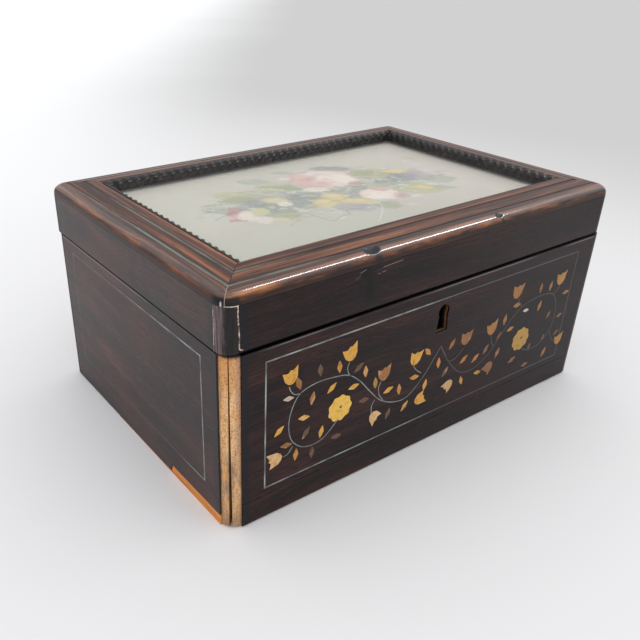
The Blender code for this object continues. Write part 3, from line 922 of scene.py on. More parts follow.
@dataclass(frozen=True)
class StainedInlay:
    """Stained and shaded wood of the inlaid flowers and leaves, toned by an attribute."""

    name: str
    attribute: str

    def make(self) -> bpy.types.Material:
        """Build the inlay wood.

        Returns:
            The material.
        """
        sheet = Sheet.named(self.name)
        place = sheet.place()
        tone = sheet.painted(self.attribute)
        mottle = sheet.noise(place, 420, detail=3, roughness=0.6)
        patches = sheet.noise(place, 170, detail=2)
        shaded = tone.coat(mottle.rise(0.5, 0.36) * 0.35, 150, 96, 52, Blend.MULTIPLY)
        lit = shaded.coat(patches.rise(0.52, 0.68) * 0.35, 216, 186, 140)
        dim = lit.coat(sheet.axes()[0].rise(-20 * MM, 60 * MM) * 0.55, 104, 66, 40)
        return sheet.finish(dim, 0.42 + 0.1 * mottle, mottle, 0.03 * MM, Specular_IOR_Level=0.4)


@dataclass(frozen=True)
class GlueLine:
    """Pale dried glue in the joints round a corner piece."""

    name: str

    def make(self) -> bpy.types.Material:
        """Build the glue.

        Returns:
            The material.
        """
        sheet = Sheet.named(self.name)
        crumbs = sheet.noise(sheet.place(), 800, detail=3)
        colour = sheet.ramp(crumbs,
                            (0.36, 74, 60, 52), (0.48, 160, 142, 124), (0.62, 206, 194, 176))
        return sheet.finish(colour, 0.8, crumbs, 0.06 * MM)


@dataclass(frozen=True)
class StudioPaper:
    """The pale floor under the box, with painted light and shade across it."""

    name: str

    def make(self) -> bpy.types.Material:
        """Build the floor's material.

        Returns:
            The material.
        """
        sheet = Sheet.named(self.name)
        x, y, _ = sheet.axes()
        soft = sheet.noise(sheet.place(), 3, detail=1) * 0.1
        # Painted shade: darker towards the back right. Painted light: lighter towards the back
        # left.
        base = sheet.mix((x + y * 0.3 + soft).rise(0.15, 0.85), srgb(235, 235, 236),
                         srgb(198, 198, 197))
        colour = base.coat((y - x * 1.2 + soft).rise(0.2, 0.9), 248, 249, 250)
        return sheet.finish(colour, 0.65, Specular_IOR_Level=0.2)


def faces_of(verts: list[bmesh.types.BMVert]) -> list[bmesh.types.BMFace]:
    """The faces that touch any of some corners."""
    return list({face for vert in verts for face in vert.link_faces})


def spun(degrees: float, axis: str = "Z") -> Matrix:
    """A turn about an axis of the part."""
    return Matrix.Rotation(math.radians(degrees), 4, axis)


def set_up(name: str, data: bpy.types.ID, finish: Finish | None = None) -> bpy.types.Object:
    """Put a mesh, light or camera in the scene.

    Args:
        name: The object's name.
        data: The mesh, light or camera.
        finish: What a mesh is finished with.

    Returns:
        The new object.
    """
    item = bpy.data.objects.new(name, data)
    bpy.context.scene.collection.objects.link(item)
    if finish is not None:
        data.materials.append(finish.make())
    return item


def mesh_data(name: str, mesh: bmesh.types.BMesh) -> bpy.types.Mesh:
    """Turn a bmesh into mesh data and free it.

    Args:
        name: The data's name.
        mesh: The bmesh.

    Returns:
        The mesh data.
    """
    data = bpy.data.meshes.new(name)
    mesh.to_mesh(data)
    mesh.free()
    return data


def outer_faces(prefix: str = "") -> tuple[float, ...]:
    """Find the outer faces of the case or the lid.

    Args:
        prefix: What the names of its veneers begin with.

    Returns:
        Where its left, right, front and back faces lie.
    """
    left, right, front, back = (
        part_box(f"{prefix}{side}_veneer") for side in ("left", "right", "front", "back"))
    return left[0].x, right[1].x, front[0].y, back[1].y


class Piece:
    """A new mesh piece, modelled in one bmesh and then set on a body."""

    def __init__(self, name: str) -> None:
        """Start an empty piece.

        Args:
            name: The piece's name.
        """
        self.name = name
        self.mesh = bmesh.new()
        self.tone = self.mesh.loops.layers.float_color.new("tone")

    def plate(self, outline: list[Point], depth: float, onto: Matrix, tone: Colour) -> None:
        """Add a flat plate with the given outline.

        Args:
            outline: Corners in the plate's own plane, in metres.
            depth: How thick the plate is.
            onto: Takes the plate's plane, whose +Z is outwards, to its place on the part.
            tone: The plate's colour.
        """
        corners = [self.mesh.verts.new((x, y, 0.0)) for x, y in outline]
        self.thicken([self.mesh.faces.new(corners)], depth, onto, tone)

    def thicken(self, faces: list[bmesh.types.BMFace], depth: float,
                onto: Matrix, tone: Colour) -> None:
        """Give a flat sheet its thickness, colour and place.

        Args:
            faces: The sheet's faces, in the plane z = 0.
            depth: How thick it becomes, downwards.
            onto: Takes the sheet to its place on the part.
            tone: The colour.
        """
        grown = bmesh.ops.extrude_face_region(self.mesh, geom=faces)["geom"]
        low = [item for item in grown if isinstance(item, bmesh.types.BMVert)]
        bmesh.ops.translate(self.mesh, verts=low, vec=(0, 0, -depth))
        shell = {face for vert in low for face in vert.link_faces} | set(faces)
        verts = list({vert for face in shell for vert in face.verts})
        bmesh.ops.transform(self.mesh, matrix=onto, verts=verts)
        bmesh.ops.recalc_face_normals(self.mesh, faces=list(shell))
        for face in shell:
            for loop in face.loops:
                loop[self.tone] = tone

    def ribbon(self, path: list[Point], width: float, depth: float,
               onto: Matrix, tone: Colour) -> None:
        """Add a flat strip that follows a path.

        Args:
            path: Points along the strip's middle, in metres.
            width: How wide the strip is.
            depth: How thick it is.
            onto: Takes the strip's plane to its place on the part.
            tone: The colour.
        """
        middle = [Vector((x, y, 0.0)) for x, y in path]
        ahead = middle[1:] + middle[-1:]
        behind = middle[:1] + middle[:-1]
        sides = [(b - a).normalized().cross(Vector((0, 0, 1))) for a, b in zip(behind, ahead)]
        verts = [self.mesh.verts.new(spot + side * width / 2) for spot, side in zip(middle, sides)]
        edges = [self.mesh.edges.new(pair) for pair in zip(verts, verts[1:])]
        grown = bmesh.ops.extrude_edge_only(self.mesh, edges=edges)["geom"]
        faces = [item for item in grown if isinstance(item, bmesh.types.BMFace)]
        far = sorted((item for item in grown if isinstance(item, bmesh.types.BMVert)),
                     key=lambda vert: min(range(len(verts)),
                                          key=lambda i: (verts[i].co - vert.co).length))
        for vert, side in zip(far, sides):
            vert.co -= side * width
        self.thicken(faces, depth, onto, tone)

    def frame_line(self, half_width: float, half_height: float, line: float,
                   depth: float, onto: Matrix, tone: Colour) -> None:
        """Add a thin rectangular line.

        Args:
            half_width: Half the width of the rectangle, to its outer edge.
            half_height: Half its height.
            line: How wide the line is.
            depth: How thick it is.
            onto: Takes the rectangle's middle to its place on the part.
            tone: The colour.
        """
        made = bmesh.ops.create_grid(self.mesh, x_segments=1, y_segments=1, size=1.0)["verts"]
        bmesh.ops.scale(self.mesh, vec=(half_width, half_height, 1.0), verts=made)
        inner = faces_of(made)
        ring = bmesh.ops.inset_region(self.mesh, faces=inner, thickness=line,
                                      use_boundary=True, use_even_offset=True)["faces"]
        bmesh.ops.delete(self.mesh, geom=inner, context="FACES")
        self.thicken(ring, depth, onto, tone)

    def place_on(self, body: str, finish: Finish) -> bpy.types.Object:
        """Turn the bmesh into an object that rides on a body.

        Args:
            body: The body that it moves with.
            finish: Its finish.

        Returns:
            The new object.
        """
        piece = set_up(self.name, mesh_data(self.name, self.mesh), finish)
        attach(piece, body)
        LOG.info("%s: %d faces on %s", self.name, len(piece.data.polygons), body)
        return piece


def smooth_path(points: list[Point], steps: int = 6) -> list[Point]:
    """Run a smooth curve through points.

    Args:
        points: Points that the curve goes through.
        steps: How many pieces each stretch between points is cut into.

    Returns:
        Points along the curve.
    """
    known = np.array([points[0], *points, points[-1]], dtype=float)
    share = np.linspace(0, 1, steps, endpoint=False)[:, None]
    path = []
    for before, start, end, after in zip(known, known[1:], known[2:], known[3:]):
        path.append(0.5 * (2 * start + (end - before) * share
                           + (2 * before - 5 * start + 4 * end - after) * share ** 2
                           + (3 * start - before - 3 * end + after) * share ** 3))
    curve = np.vstack([*path, known[-1:]])
    return [tuple(spot) for spot in curve]


class InlayTone(Enum):
    """Colours of the stained inlay."""

    GOLD = srgb(206, 152, 58)
    AMBER = srgb(184, 128, 54)
    RUST = srgb(148, 98, 50)
    OLIVE = srgb(156, 124, 62)
    UMBER = srgb(96, 68, 50)
    BLUSH = srgb(184, 164, 146)
    PALE = srgb(206, 166, 112)
    ROSETTE = srgb(224, 180, 74)
    EYE = srgb(112, 74, 36)
    PEARL = srgb(250, 246, 250)


@dataclass
class FrontInlay:
    """Scrolling vine, tulips, two round flowers and leaves in the front of the case."""

    proud: float = 0.04 * MM
    thickness: float = 0.3 * MM
    wire: float = 0.5 * MM
    leaf_length: float = 6.8 * MM
    leaf_width: float = 3.1 * MM
    rosette_radius: float = 6.9 * MM
    rosette_wave: float = 0.35 * MM
    eye_radius: float = 0.8 * MM
    eye_place: Point = (0.4 * MM, 0.6 * MM)
    scallops: int = 9
    tulip: tuple = ((0.0, 0.0), (1.9, 0.7), (3.5, 2.8), (3.9, 5.2), (4.5, 8.6), (2.9, 7.6),
                    (1.4, 7.0), (0.3, 7.5), (-1.2, 6.4), (-2.6, 6.7), (-4.2, 7.4), (-3.8, 4.8),
                    (-3.3, 2.5), (-1.7, 0.6))
    wires: tuple = (
        ((-65.4, 38.6), (-74.0, 31.7), (-84.0, 31.5), (-91.5, 37.5), (-94.0, 46.5),
         (-92.5, 55.5), (-88.0, 62.3), (-79.0, 64.7), (-68.5, 64.0), (-60.0, 62.0), (-52.5, 56.2),
         (-45.0, 47.5), (-37.5, 39.8), (-28.0, 35.2), (-18.5, 35.0), (-8.3, 43.4), (-3.3, 50.0),
         (2.0, 57.5)),
        ((2.0, 57.5), (5.8, 51.5), (9.3, 46.4), (17.0, 38.2), (24.0, 34.6), (33.0, 35.0),
         (42.0, 40.0), (49.0, 47.5), (56.5, 56.2), (64.0, 62.0), (72.5, 64.0), (83.0, 64.7),
         (92.0, 62.3), (96.5, 55.5), (98.0, 46.5), (95.5, 37.5), (88.0, 31.5), (78.0, 31.0),
         (72.0, 33.8)),
        ((-94.3, 68.0), (-93.4, 65.5), (-91.0, 62.9), (-87.5, 62.4)),
        ((-59.9, 68.9), (-61.0, 66.4), (-60.1, 63.1), (-58.4, 60.9)),
        ((-38.4, 50.8), (-39.7, 47.6), (-38.7, 43.2), (-36.0, 39.5)),
        ((-97.1, 31.3), (-94.2, 31.6), (-91.4, 35.0)),
        ((-41.4, 41.5), (-43.2, 38.6), (-43.1, 34.1)),
        ((-17.0, 56.0), (-16.0, 51.0), (-10.5, 46.0)),
        ((9.3, 46.4), (14.6, 46.1), (20.0, 50.5)),
        ((41.6, 52.0), (43.0, 47.0), (45.5, 43.5)),
        ((60.0, 69.0), (61.5, 65.5), (64.5, 62.2)),
        ((97.0, 67.5), (95.0, 64.5), (91.5, 62.4)),
        ((105.5, 28.5), (101.0, 30.5), (96.0, 38.0)),
    )
    tulips: tuple = (
        (InlayTone.GOLD, ((-93, 68.8, -8), (-58.6, 69.4, -14, 1.05), (-16.6, 52.4, 12),
            (-12.6, 29.2, 78, 0.95), (96.4, 66.9, 2), (107.8, 25.2, -5, 0.9))),
        (InlayTone.RUST, ((-36.5, 50.8, -4), (20.6, 52.2, 6), (47, 33.2, -132, 0.95))),
        (InlayTone.PALE, ((-97.3, 31.8, -95), (-43, 34.2, 142, 0.9), (15, 32.6, -125, 0.9))),
        (InlayTone.AMBER, ((41.8, 51.8, -6), (57.6, 68.8, 8, 1.05))),
    )
    rosettes: tuple = ((-63.9, 45.3), (69.3, 40.7))
    leaves: tuple = (
        (InlayTone.RUST, ((-89.1, 68, -18, 1.1), (-80.9, 57.2, 10, 1.05), (-95.1, 37, 98),
            (10.5, 56, 32), (49.9, 38.1, 20), (64.8, 28.6, 70), (78.2, 21, 85, 0.9),
            (102.9, 46.1, 80, 0.8), (79, 69.5, 5, 0.9))),
        (InlayTone.BLUSH, ((-94.5, 62, 98, 0.9),)),
        (InlayTone.UMBER, ((-77.1, 70.6, -5), (-54, 64, 58), (-83.9, 39.4, 36, 1.05),
            (-65.2, 29.6, 98), (-79.8, 26.4, 2), (-48.8, 44.1, 95), (-31.5, 29.5, 20),
            (39.1, 43.7, 35), (79, 32.7, 15, 0.8), (91, 34.6, 20, 0.8), (91.6, 49.4, 30, 0.8),
            (48.7, 48.5, 30), (103.5, 34.6, 60, 0.8), (7.9, 40.3, 38, 0.95))),
        (InlayTone.AMBER, ((-65.8, 68.4, -6), (-49.3, 60.3, -5), (-89.4, 29.4, 6),
            (-25.2, 41.6, -8), (-19.9, 29.6, 40), (-15.1, 45.1, 98), (-7.3, 57.3, -42),
            (1.9, 47.7, -4), (21.8, 43.3, 55), (31.4, 40.8, 52), (95, 24, 25), (81, 58.2, 15),
            (59.8, 64.5, 92), (51.5, 58, 5), (88, 68.5, 10, 0.9))),
        (InlayTone.GOLD, ((-69.7, 58.6, 50), (-56.2, 54.4, 84), (-85.4, 48.4, 100),
            (-99.3, 46.5, 52), (-74.7, 36.3, 12), (-32.8, 44, 76), (-6.4, 37.5, 10),
            (57.8, 50.5, 80, 0.9), (22.4, 29.9, -18, 0.9), (35.2, 30.5, 100, 0.9))),
        (InlayTone.OLIVE, ((-42.2, 51.4, -6), (104, 60.5, 88, 0.9))),
        (InlayTone.PEARL, ((68.9, 58.8, 95, 0.75),)),
    )

    def onto(self, x: float, z: float, lean: float = 0.0) -> Matrix:
        """Take a flat figure to its place on the front.

        Args:
            x: Where its origin goes along the front, in millimetres.
            z: Where it goes upwards, in millimetres.
            lean: How far it turns clockwise, in degrees.

        Returns:
            The matrix from the figure's plane to the part.
        """
        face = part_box("front_veneer")[0].y - self.proud
        return Matrix.Translation((x * MM, face, z * MM)) @ spun(90, "X") @ spun(-lean)

    def add_leaf(self, piece: Piece, tone: InlayTone, x: float, z: float, lean: float,
                 size: float = 1.0) -> None:
        """Add one pointed leaf.

        Args:
            piece: The piece that takes it.
            tone: Its tone.
            x: Its middle along the front, in millimetres.
            z: Its middle upwards, in millimetres.
            lean: Its lean from upright, in degrees.
            size: Its size beside the usual leaf.
        """
        made = bmesh.ops.create_circle(piece.mesh, cap_ends=True, segments=12, radius=1.0)["verts"]
        for vert in made:
            fullness = 1 - 0.6 * abs(vert.co.y)
            vert.co = Vector((vert.co.x * fullness * self.leaf_width / 2 * size,
                              vert.co.y * self.leaf_length / 2 * size, 0.0))
        piece.thicken(faces_of(made), self.thickness, self.onto(x, z, lean), tone.value)

    def add_tulip(self, piece: Piece, tone: InlayTone, x: float, z: float, lean: float,
                  size: float = 1.0) -> None:
        """Add one tulip of three petals, seen from the side.

        Args:
            piece: The piece that takes it.
            tone: Its tone.
            x: Its foot along the front, in millimetres.
            z: Its foot upwards, in millimetres.
            lean: Its lean from upright, in degrees.
            size: Its size beside the usual tulip.
        """
        outline = [(across * size * MM, up * size * MM) for across, up in self.tulip]
        piece.plate(outline, self.thickness, self.onto(x, z, lean), tone.value)

    def add_rosette(self, piece: Piece, x: float, z: float) -> None:
        """Add one round flower with a scalloped edge and a small dark eye.

        Args:
            piece: The piece that takes it.
            x: Its middle along the front, in millimetres.
            z: Its middle upwards, in millimetres.
        """
        made = bmesh.ops.create_circle(piece.mesh, cap_ends=True, segments=72, radius=1.0)["verts"]
        for vert in made:
            angle = math.atan2(vert.co.y, vert.co.x)
            radius = self.rosette_radius + self.rosette_wave * math.cos(angle * self.scallops)
            vert.co = Vector((math.cos(angle), math.sin(angle), 0.0)) * radius
        piece.thicken(faces_of(made), self.thickness, self.onto(x, z), InlayTone.ROSETTE.value)
        eye = bmesh.ops.create_circle(piece.mesh, cap_ends=True, segments=10,
                                      radius=self.eye_radius)["verts"]
        bmesh.ops.translate(piece.mesh, verts=eye, vec=(*self.eye_place, 0.02 * MM))
        piece.thicken(faces_of(eye), self.thickness, self.onto(x, z), InlayTone.EYE.value)

    def build(self) -> None:
        """Build the inlay as two pieces: the vine, and the flowers and leaves."""
        vine = Piece("front_vine")
        for wire in self.wires:
            path = [(x * MM, z * MM) for x, z in smooth_path(list(wire))]
            vine.ribbon(path, self.wire, self.thickness, self.onto(0, 0), srgb(124, 134, 130))
        vine.place_on(CASE, PewterLine("vine_wire", -2 * MM))
        flowers = Piece("front_flowers")
        for figures, add in ((self.leaves, self.add_leaf), (self.tulips, self.add_tulip)):
            for tone, places in figures:
                for place in places:
                    add(flowers, tone, *place)
        for x, z in self.rosettes:
            self.add_rosette(flowers, x, z)
        flowers.place_on(CASE, StainedInlay("stained_inlay", "tone"))


@dataclass
class Stringing:
    """Thin metal rectangles let into the front and the two ends of the case."""

    line: float = 0.75 * MM
    depth: float = 0.3 * MM
    proud: float = 0.03 * MM
    front_inset: float = 19.3 * MM
    end_inset: float = 19.7 * MM
    foot: float = 17.5 * MM
    head: float = 85.0 * MM

    def build(self) -> None:
        """Build the three rectangles as one piece."""
        piece = Piece("stringing")
        tone = srgb(124, 134, 130)
        left, right, front, back = outer_faces()
        middle_x, middle_y = (left + right) / 2, (front + back) / 2
        half_x = (right - left) / 2 - self.front_inset
        half_y = (back - front) / 2 - self.end_inset
        half_z = (self.head - self.foot) / 2
        middle_z = (self.head + self.foot) / 2
        for half_width, x, y, turn in (
                (half_x, middle_x, front - self.proud, 0),
                (half_y, left - self.proud, middle_y, -90),
                (half_y, right + self.proud, middle_y, 90)):
            onto = Matrix.Translation((x, y, middle_z)) @ spun(turn) @ spun(90, "X")
            piece.frame_line(half_width, half_z, self.line, self.depth, onto, tone)
        piece.place_on(CASE, PewterLine("stringing_metal", 0.0))


@dataclass
class LidMoulding:
    """The four mitred lengths of moulding that frame the picture."""

    width: float = 20.6 * MM
    bullnose_run: float = 6.6 * MM
    bullnose_rise: float = 4.7 * MM
    bullnose_steps: int = 18
    rail_fall: float = 2.2 * MM
    fall_power: float = 1.5
    height: float = 7.66 * MM
    rebate: float = 1.14 * MM
    seat: float = 9.5 * MM
    arris: float = 0.4 * MM
    corner_radius: float = 7.4 * MM
    corner_steps: int = 8
    groove_depth: float = 0.5 * MM
    station_gap: float = 6.0 * MM
    chip_gap: float = 0.35 * MM
    chips: tuple[Scoop, ...] = (
        Scoop(-48.2 * MM, 4.4 * MM, 4.9 * MM, 2.6 * MM, 0.8 * MM),
        Scoop(34.8 * MM, 3.3 * MM, 2.6 * MM, 1.6 * MM, 0.5 * MM))

    def rail_drop(self, inset: float) -> float:
        """How far the rail's top lies below the lid's at a distance from its outer face."""
        share = (inset - self.bullnose_run) / (self.width - self.bullnose_run)
        return self.rail_fall * (1 - share) ** self.fall_power

    def section(self) -> list[Point]:
        """Work out the section.

        Returns:
            Distances from the outer face and drops below the lid's top, round the section.
        """
        points = [(self.seat, self.height + self.rebate), (self.seat, self.height),
                  (0.0, self.height)]
        for step in range(self.bullnose_steps + 1):
            angle = math.pi / 2 * step / self.bullnose_steps
            points.append((self.bullnose_run * (1 - math.cos(angle)),
                           self.rail_fall + self.bullnose_rise * (1 - math.sin(angle))))
        for middle in GROOVES:
            for share, depth in ((-1.0, 0.0), (-0.6, 0.8), (0.0, 1.0), (0.6, 0.8), (1.0, 0.0)):
                inset = middle + GROOVE_HALF * share
                points.append((inset, self.rail_drop(inset) + self.groove_depth * depth))
            gap = GROOVE_HALF * 4
            points.append((middle + gap, self.rail_drop(middle + gap)))
        points += [(self.width - self.arris, 0.0), (self.width, self.arris),
                   (self.width, self.height + self.rebate)]
        return points

    def stations(self, length: float, chips: list[Scoop]) -> list[float]:
        """Choose the places along a length at which its section is set.

        Args:
            length: The length between the outer corners.
            chips: The chips in it, placed along it.

        Returns:
            Distances from its left end, closer together at the chips.
        """
        straight = length - 2 * self.corner_radius
        count = round(straight / self.station_gap)
        spots = {self.corner_radius + straight * i / count for i in range(count + 1)}
        for chip in chips:
            steps = round(chip.half_length * 1.2 / self.chip_gap)
            spots |= {chip.x + self.chip_gap * i for i in range(-steps, steps + 1)}
        return sorted(spots)

    def outline(self, spot: float, turn: float, inset: float, length: float) -> Point:
        """Place one point of a length in its own plane.

        Args:
            spot: Distance from the left end.
            turn: Angle round the corner, in radians: 0 on the straight, below 0 at the left.
            inset: Distance from the outer face.
            length: The length between the outer corners.

        Returns:
            The point, along the length and inwards.
        """
        if turn == 0.0:
            return min(max(spot, inset), length - inset), inset
        radius = max(self.corner_radius - inset, 0.0)
        back = max(inset, self.corner_radius)
        along = back - radius * math.sin(abs(turn))
        return (along if turn < 0 else length - along), back - radius * math.cos(turn)

    def build_length(self, name: str, onto: Matrix, length: float, chips: list[Scoop],
                     finish: Finish) -> None:
        """Build one length between its two mitres.

        Args:
            name: Which side of the lid it is on.
            onto: Takes its own plane, along it and inwards, to the part.
            length: The length between the outer corners.
            chips: The chips in it, placed along it.
            finish: Its finish.
        """
        corner = [math.pi / 4 * (1 - i / self.corner_steps) for i in range(self.corner_steps)]
        places = ([(0.0, -turn) for turn in corner]
                  + [(spot, 0.0) for spot in self.stations(length, chips)]
                  + [(length, turn) for turn in reversed(corner)])
        section = self.section()
        piece = Piece(f"moulding_{name}")
        mesh = piece.mesh
        made = bmesh.ops.create_grid(mesh, x_segments=len(places) - 1, y_segments=len(section),
                                     size=1.0)["verts"]
        for vert in made:
            spot, turn = places[round((vert.co.x + 1) / 2 * (len(places) - 1))]
            inset, drop = section[round((vert.co.y + 1) / 2 * len(section)) % len(section)]
            along, inward = self.outline(spot, turn, inset, length)
            for chip in chips:
                off = ((along - chip.x) / chip.half_length) ** 2 \
                    + ((inset - chip.inset) / chip.half_width) ** 2
                if off < 1 and drop < self.height:
                    inward += 0.4 * chip.depth * (1 - off)
                    drop += chip.depth * (1 - off)
            vert.co = onto @ Vector((along, inward, -drop))
        bmesh.ops.remove_doubles(mesh, verts=mesh.verts, dist=0.002 * MM)
        ends = [edge for edge in mesh.edges if edge.is_boundary]
        bmesh.ops.holes_fill(mesh, edges=ends, sides=0)
        bmesh.ops.recalc_face_normals(mesh, faces=mesh.faces)
        for face in mesh.faces:
            face.smooth = True
        for edge in mesh.edges:
            edge.smooth = edge.calc_face_angle(0.0) < math.radians(28)
        shown = piece.place_on(LID, finish)
        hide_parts(f"lid_{name}_moulding")

    def build(self) -> None:
        """Build the four lengths."""
        left, right, front, back = outer_faces("lid_")
        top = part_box("lid_front_moulding")[1].z
        middle = ((left + right) / 2, (front + back) / 2)
        half = ((right - left) / 2, (back - front) / 2)
        for name, corner, quarter, grain, face, inward in (
                ("front", (left, front), 0, Grain.ALONG_X, front, 1.0),
                ("right", (right, front), 1, Grain.ALONG_Y, right, -1.0),
                ("back", (right, back), 2, Grain.ALONG_X, back, -1.0),
                ("left", (left, back), 3, Grain.ALONG_Y, left, 1.0)):
            onto = Matrix.Translation((*corner, top)) @ spun(90 * quarter)
            length = 2 * (half[1] if quarter % 2 else half[0])
            here = self.chips if name == "front" else ()
            along = [replace(chip, x=chip.x - left) for chip in here]
            # The front is the most amber; the left takes the painted highlight and a longer reach
            # of groove dust and painted sheen.
            finish = RosewoodMoulding(f"moulding_{name}", grain, face, inward,
                                      top - self.rail_fall, middle, half,
                                      0.85 if name == "front" else 0.55,
                                      1.0 if name == "left" else 0.0, here,
                                      120 * MM if name == "left" else 50 * MM)
            self.build_length(name, onto, length, along, finish)


@dataclass
class CornerGlue:
    """Pale glue in the joints round the front left corner piece of the lid."""

    line: float = 0.6 * MM
    depth: float = 0.3 * MM
    proud: float = 0.05 * MM
    joint: float = 7.0 * MM
    corner_radius: float = 7.4 * MM
    corner_steps: int = 10
    corner_start: float = 42.0
    corner_sweep: float = 48.0
    hook: tuple = ((0.0, 114.4), (0.1, 108.0), (0.5, 101.0), (0.5, 95.6), (1.1, 94.6), (2.2, 94.3))
    end_foot: float = 95.6 * MM
    end_head: float = 113.2 * MM

    def build(self) -> None:
        """Build the lines in the front and the end, and the one under the moulding."""
        left, _, front, _ = outer_faces("lid_")
        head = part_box("lid_corner_front_left")[1].z
        upright = spun(90, "X")
        on_front = Matrix.Translation((left + self.joint, front - self.proud, 0)) @ upright
        on_end = Matrix.Translation((left - self.proud, front + self.joint, 0))
        on_end = on_end @ spun(-90) @ upright
        pale, dull = srgb(214, 206, 192), srgb(140, 136, 128)
        piece = Piece("corner_glue")
        hook = [(x * MM, z * MM) for x, z in self.hook]
        piece.ribbon(smooth_path(hook, 3), self.line, self.depth, on_front, pale)
        piece.ribbon([(0.0, self.end_foot), (0.0, self.end_head)], self.line * 0.6, self.depth,
                     on_end, dull)
        self.add_top_line(piece, left, front, head)
        piece.place_on(LID, GlueLine("dried_glue"))

    def add_top_line(self, piece: Piece, left: float, front: float, head: float) -> None:
        """Run a thin line round the corner, under the moulding.

        Args:
            piece: The piece that takes it.
            left: The lid's left face.
            front: The lid's front face.
            head: The top of the corner piece.
        """
        mesh = piece.mesh
        centre = Vector((left + self.corner_radius, front + self.corner_radius, head))
        start = bmesh.ops.create_grid(mesh, x_segments=1, y_segments=1, size=0.5)["verts"]
        size = Matrix.Diagonal((self.depth, self.line * 0.8, 1.0, 1.0))
        out = Matrix.Translation((-self.corner_radius - self.proud + self.depth / 2, 0, 0))
        onto = Matrix.Translation(centre) @ spun(self.corner_start) @ out @ spun(90, "X") @ size
        bmesh.ops.transform(mesh, matrix=onto, verts=start)
        bmesh.ops.spin(mesh, geom=faces_of(start), cent=centre, axis=(0, 0, 1),
                       angle=math.radians(self.corner_sweep), steps=self.corner_steps)
        bmesh.ops.recalc_face_normals(mesh, faces=mesh.faces)


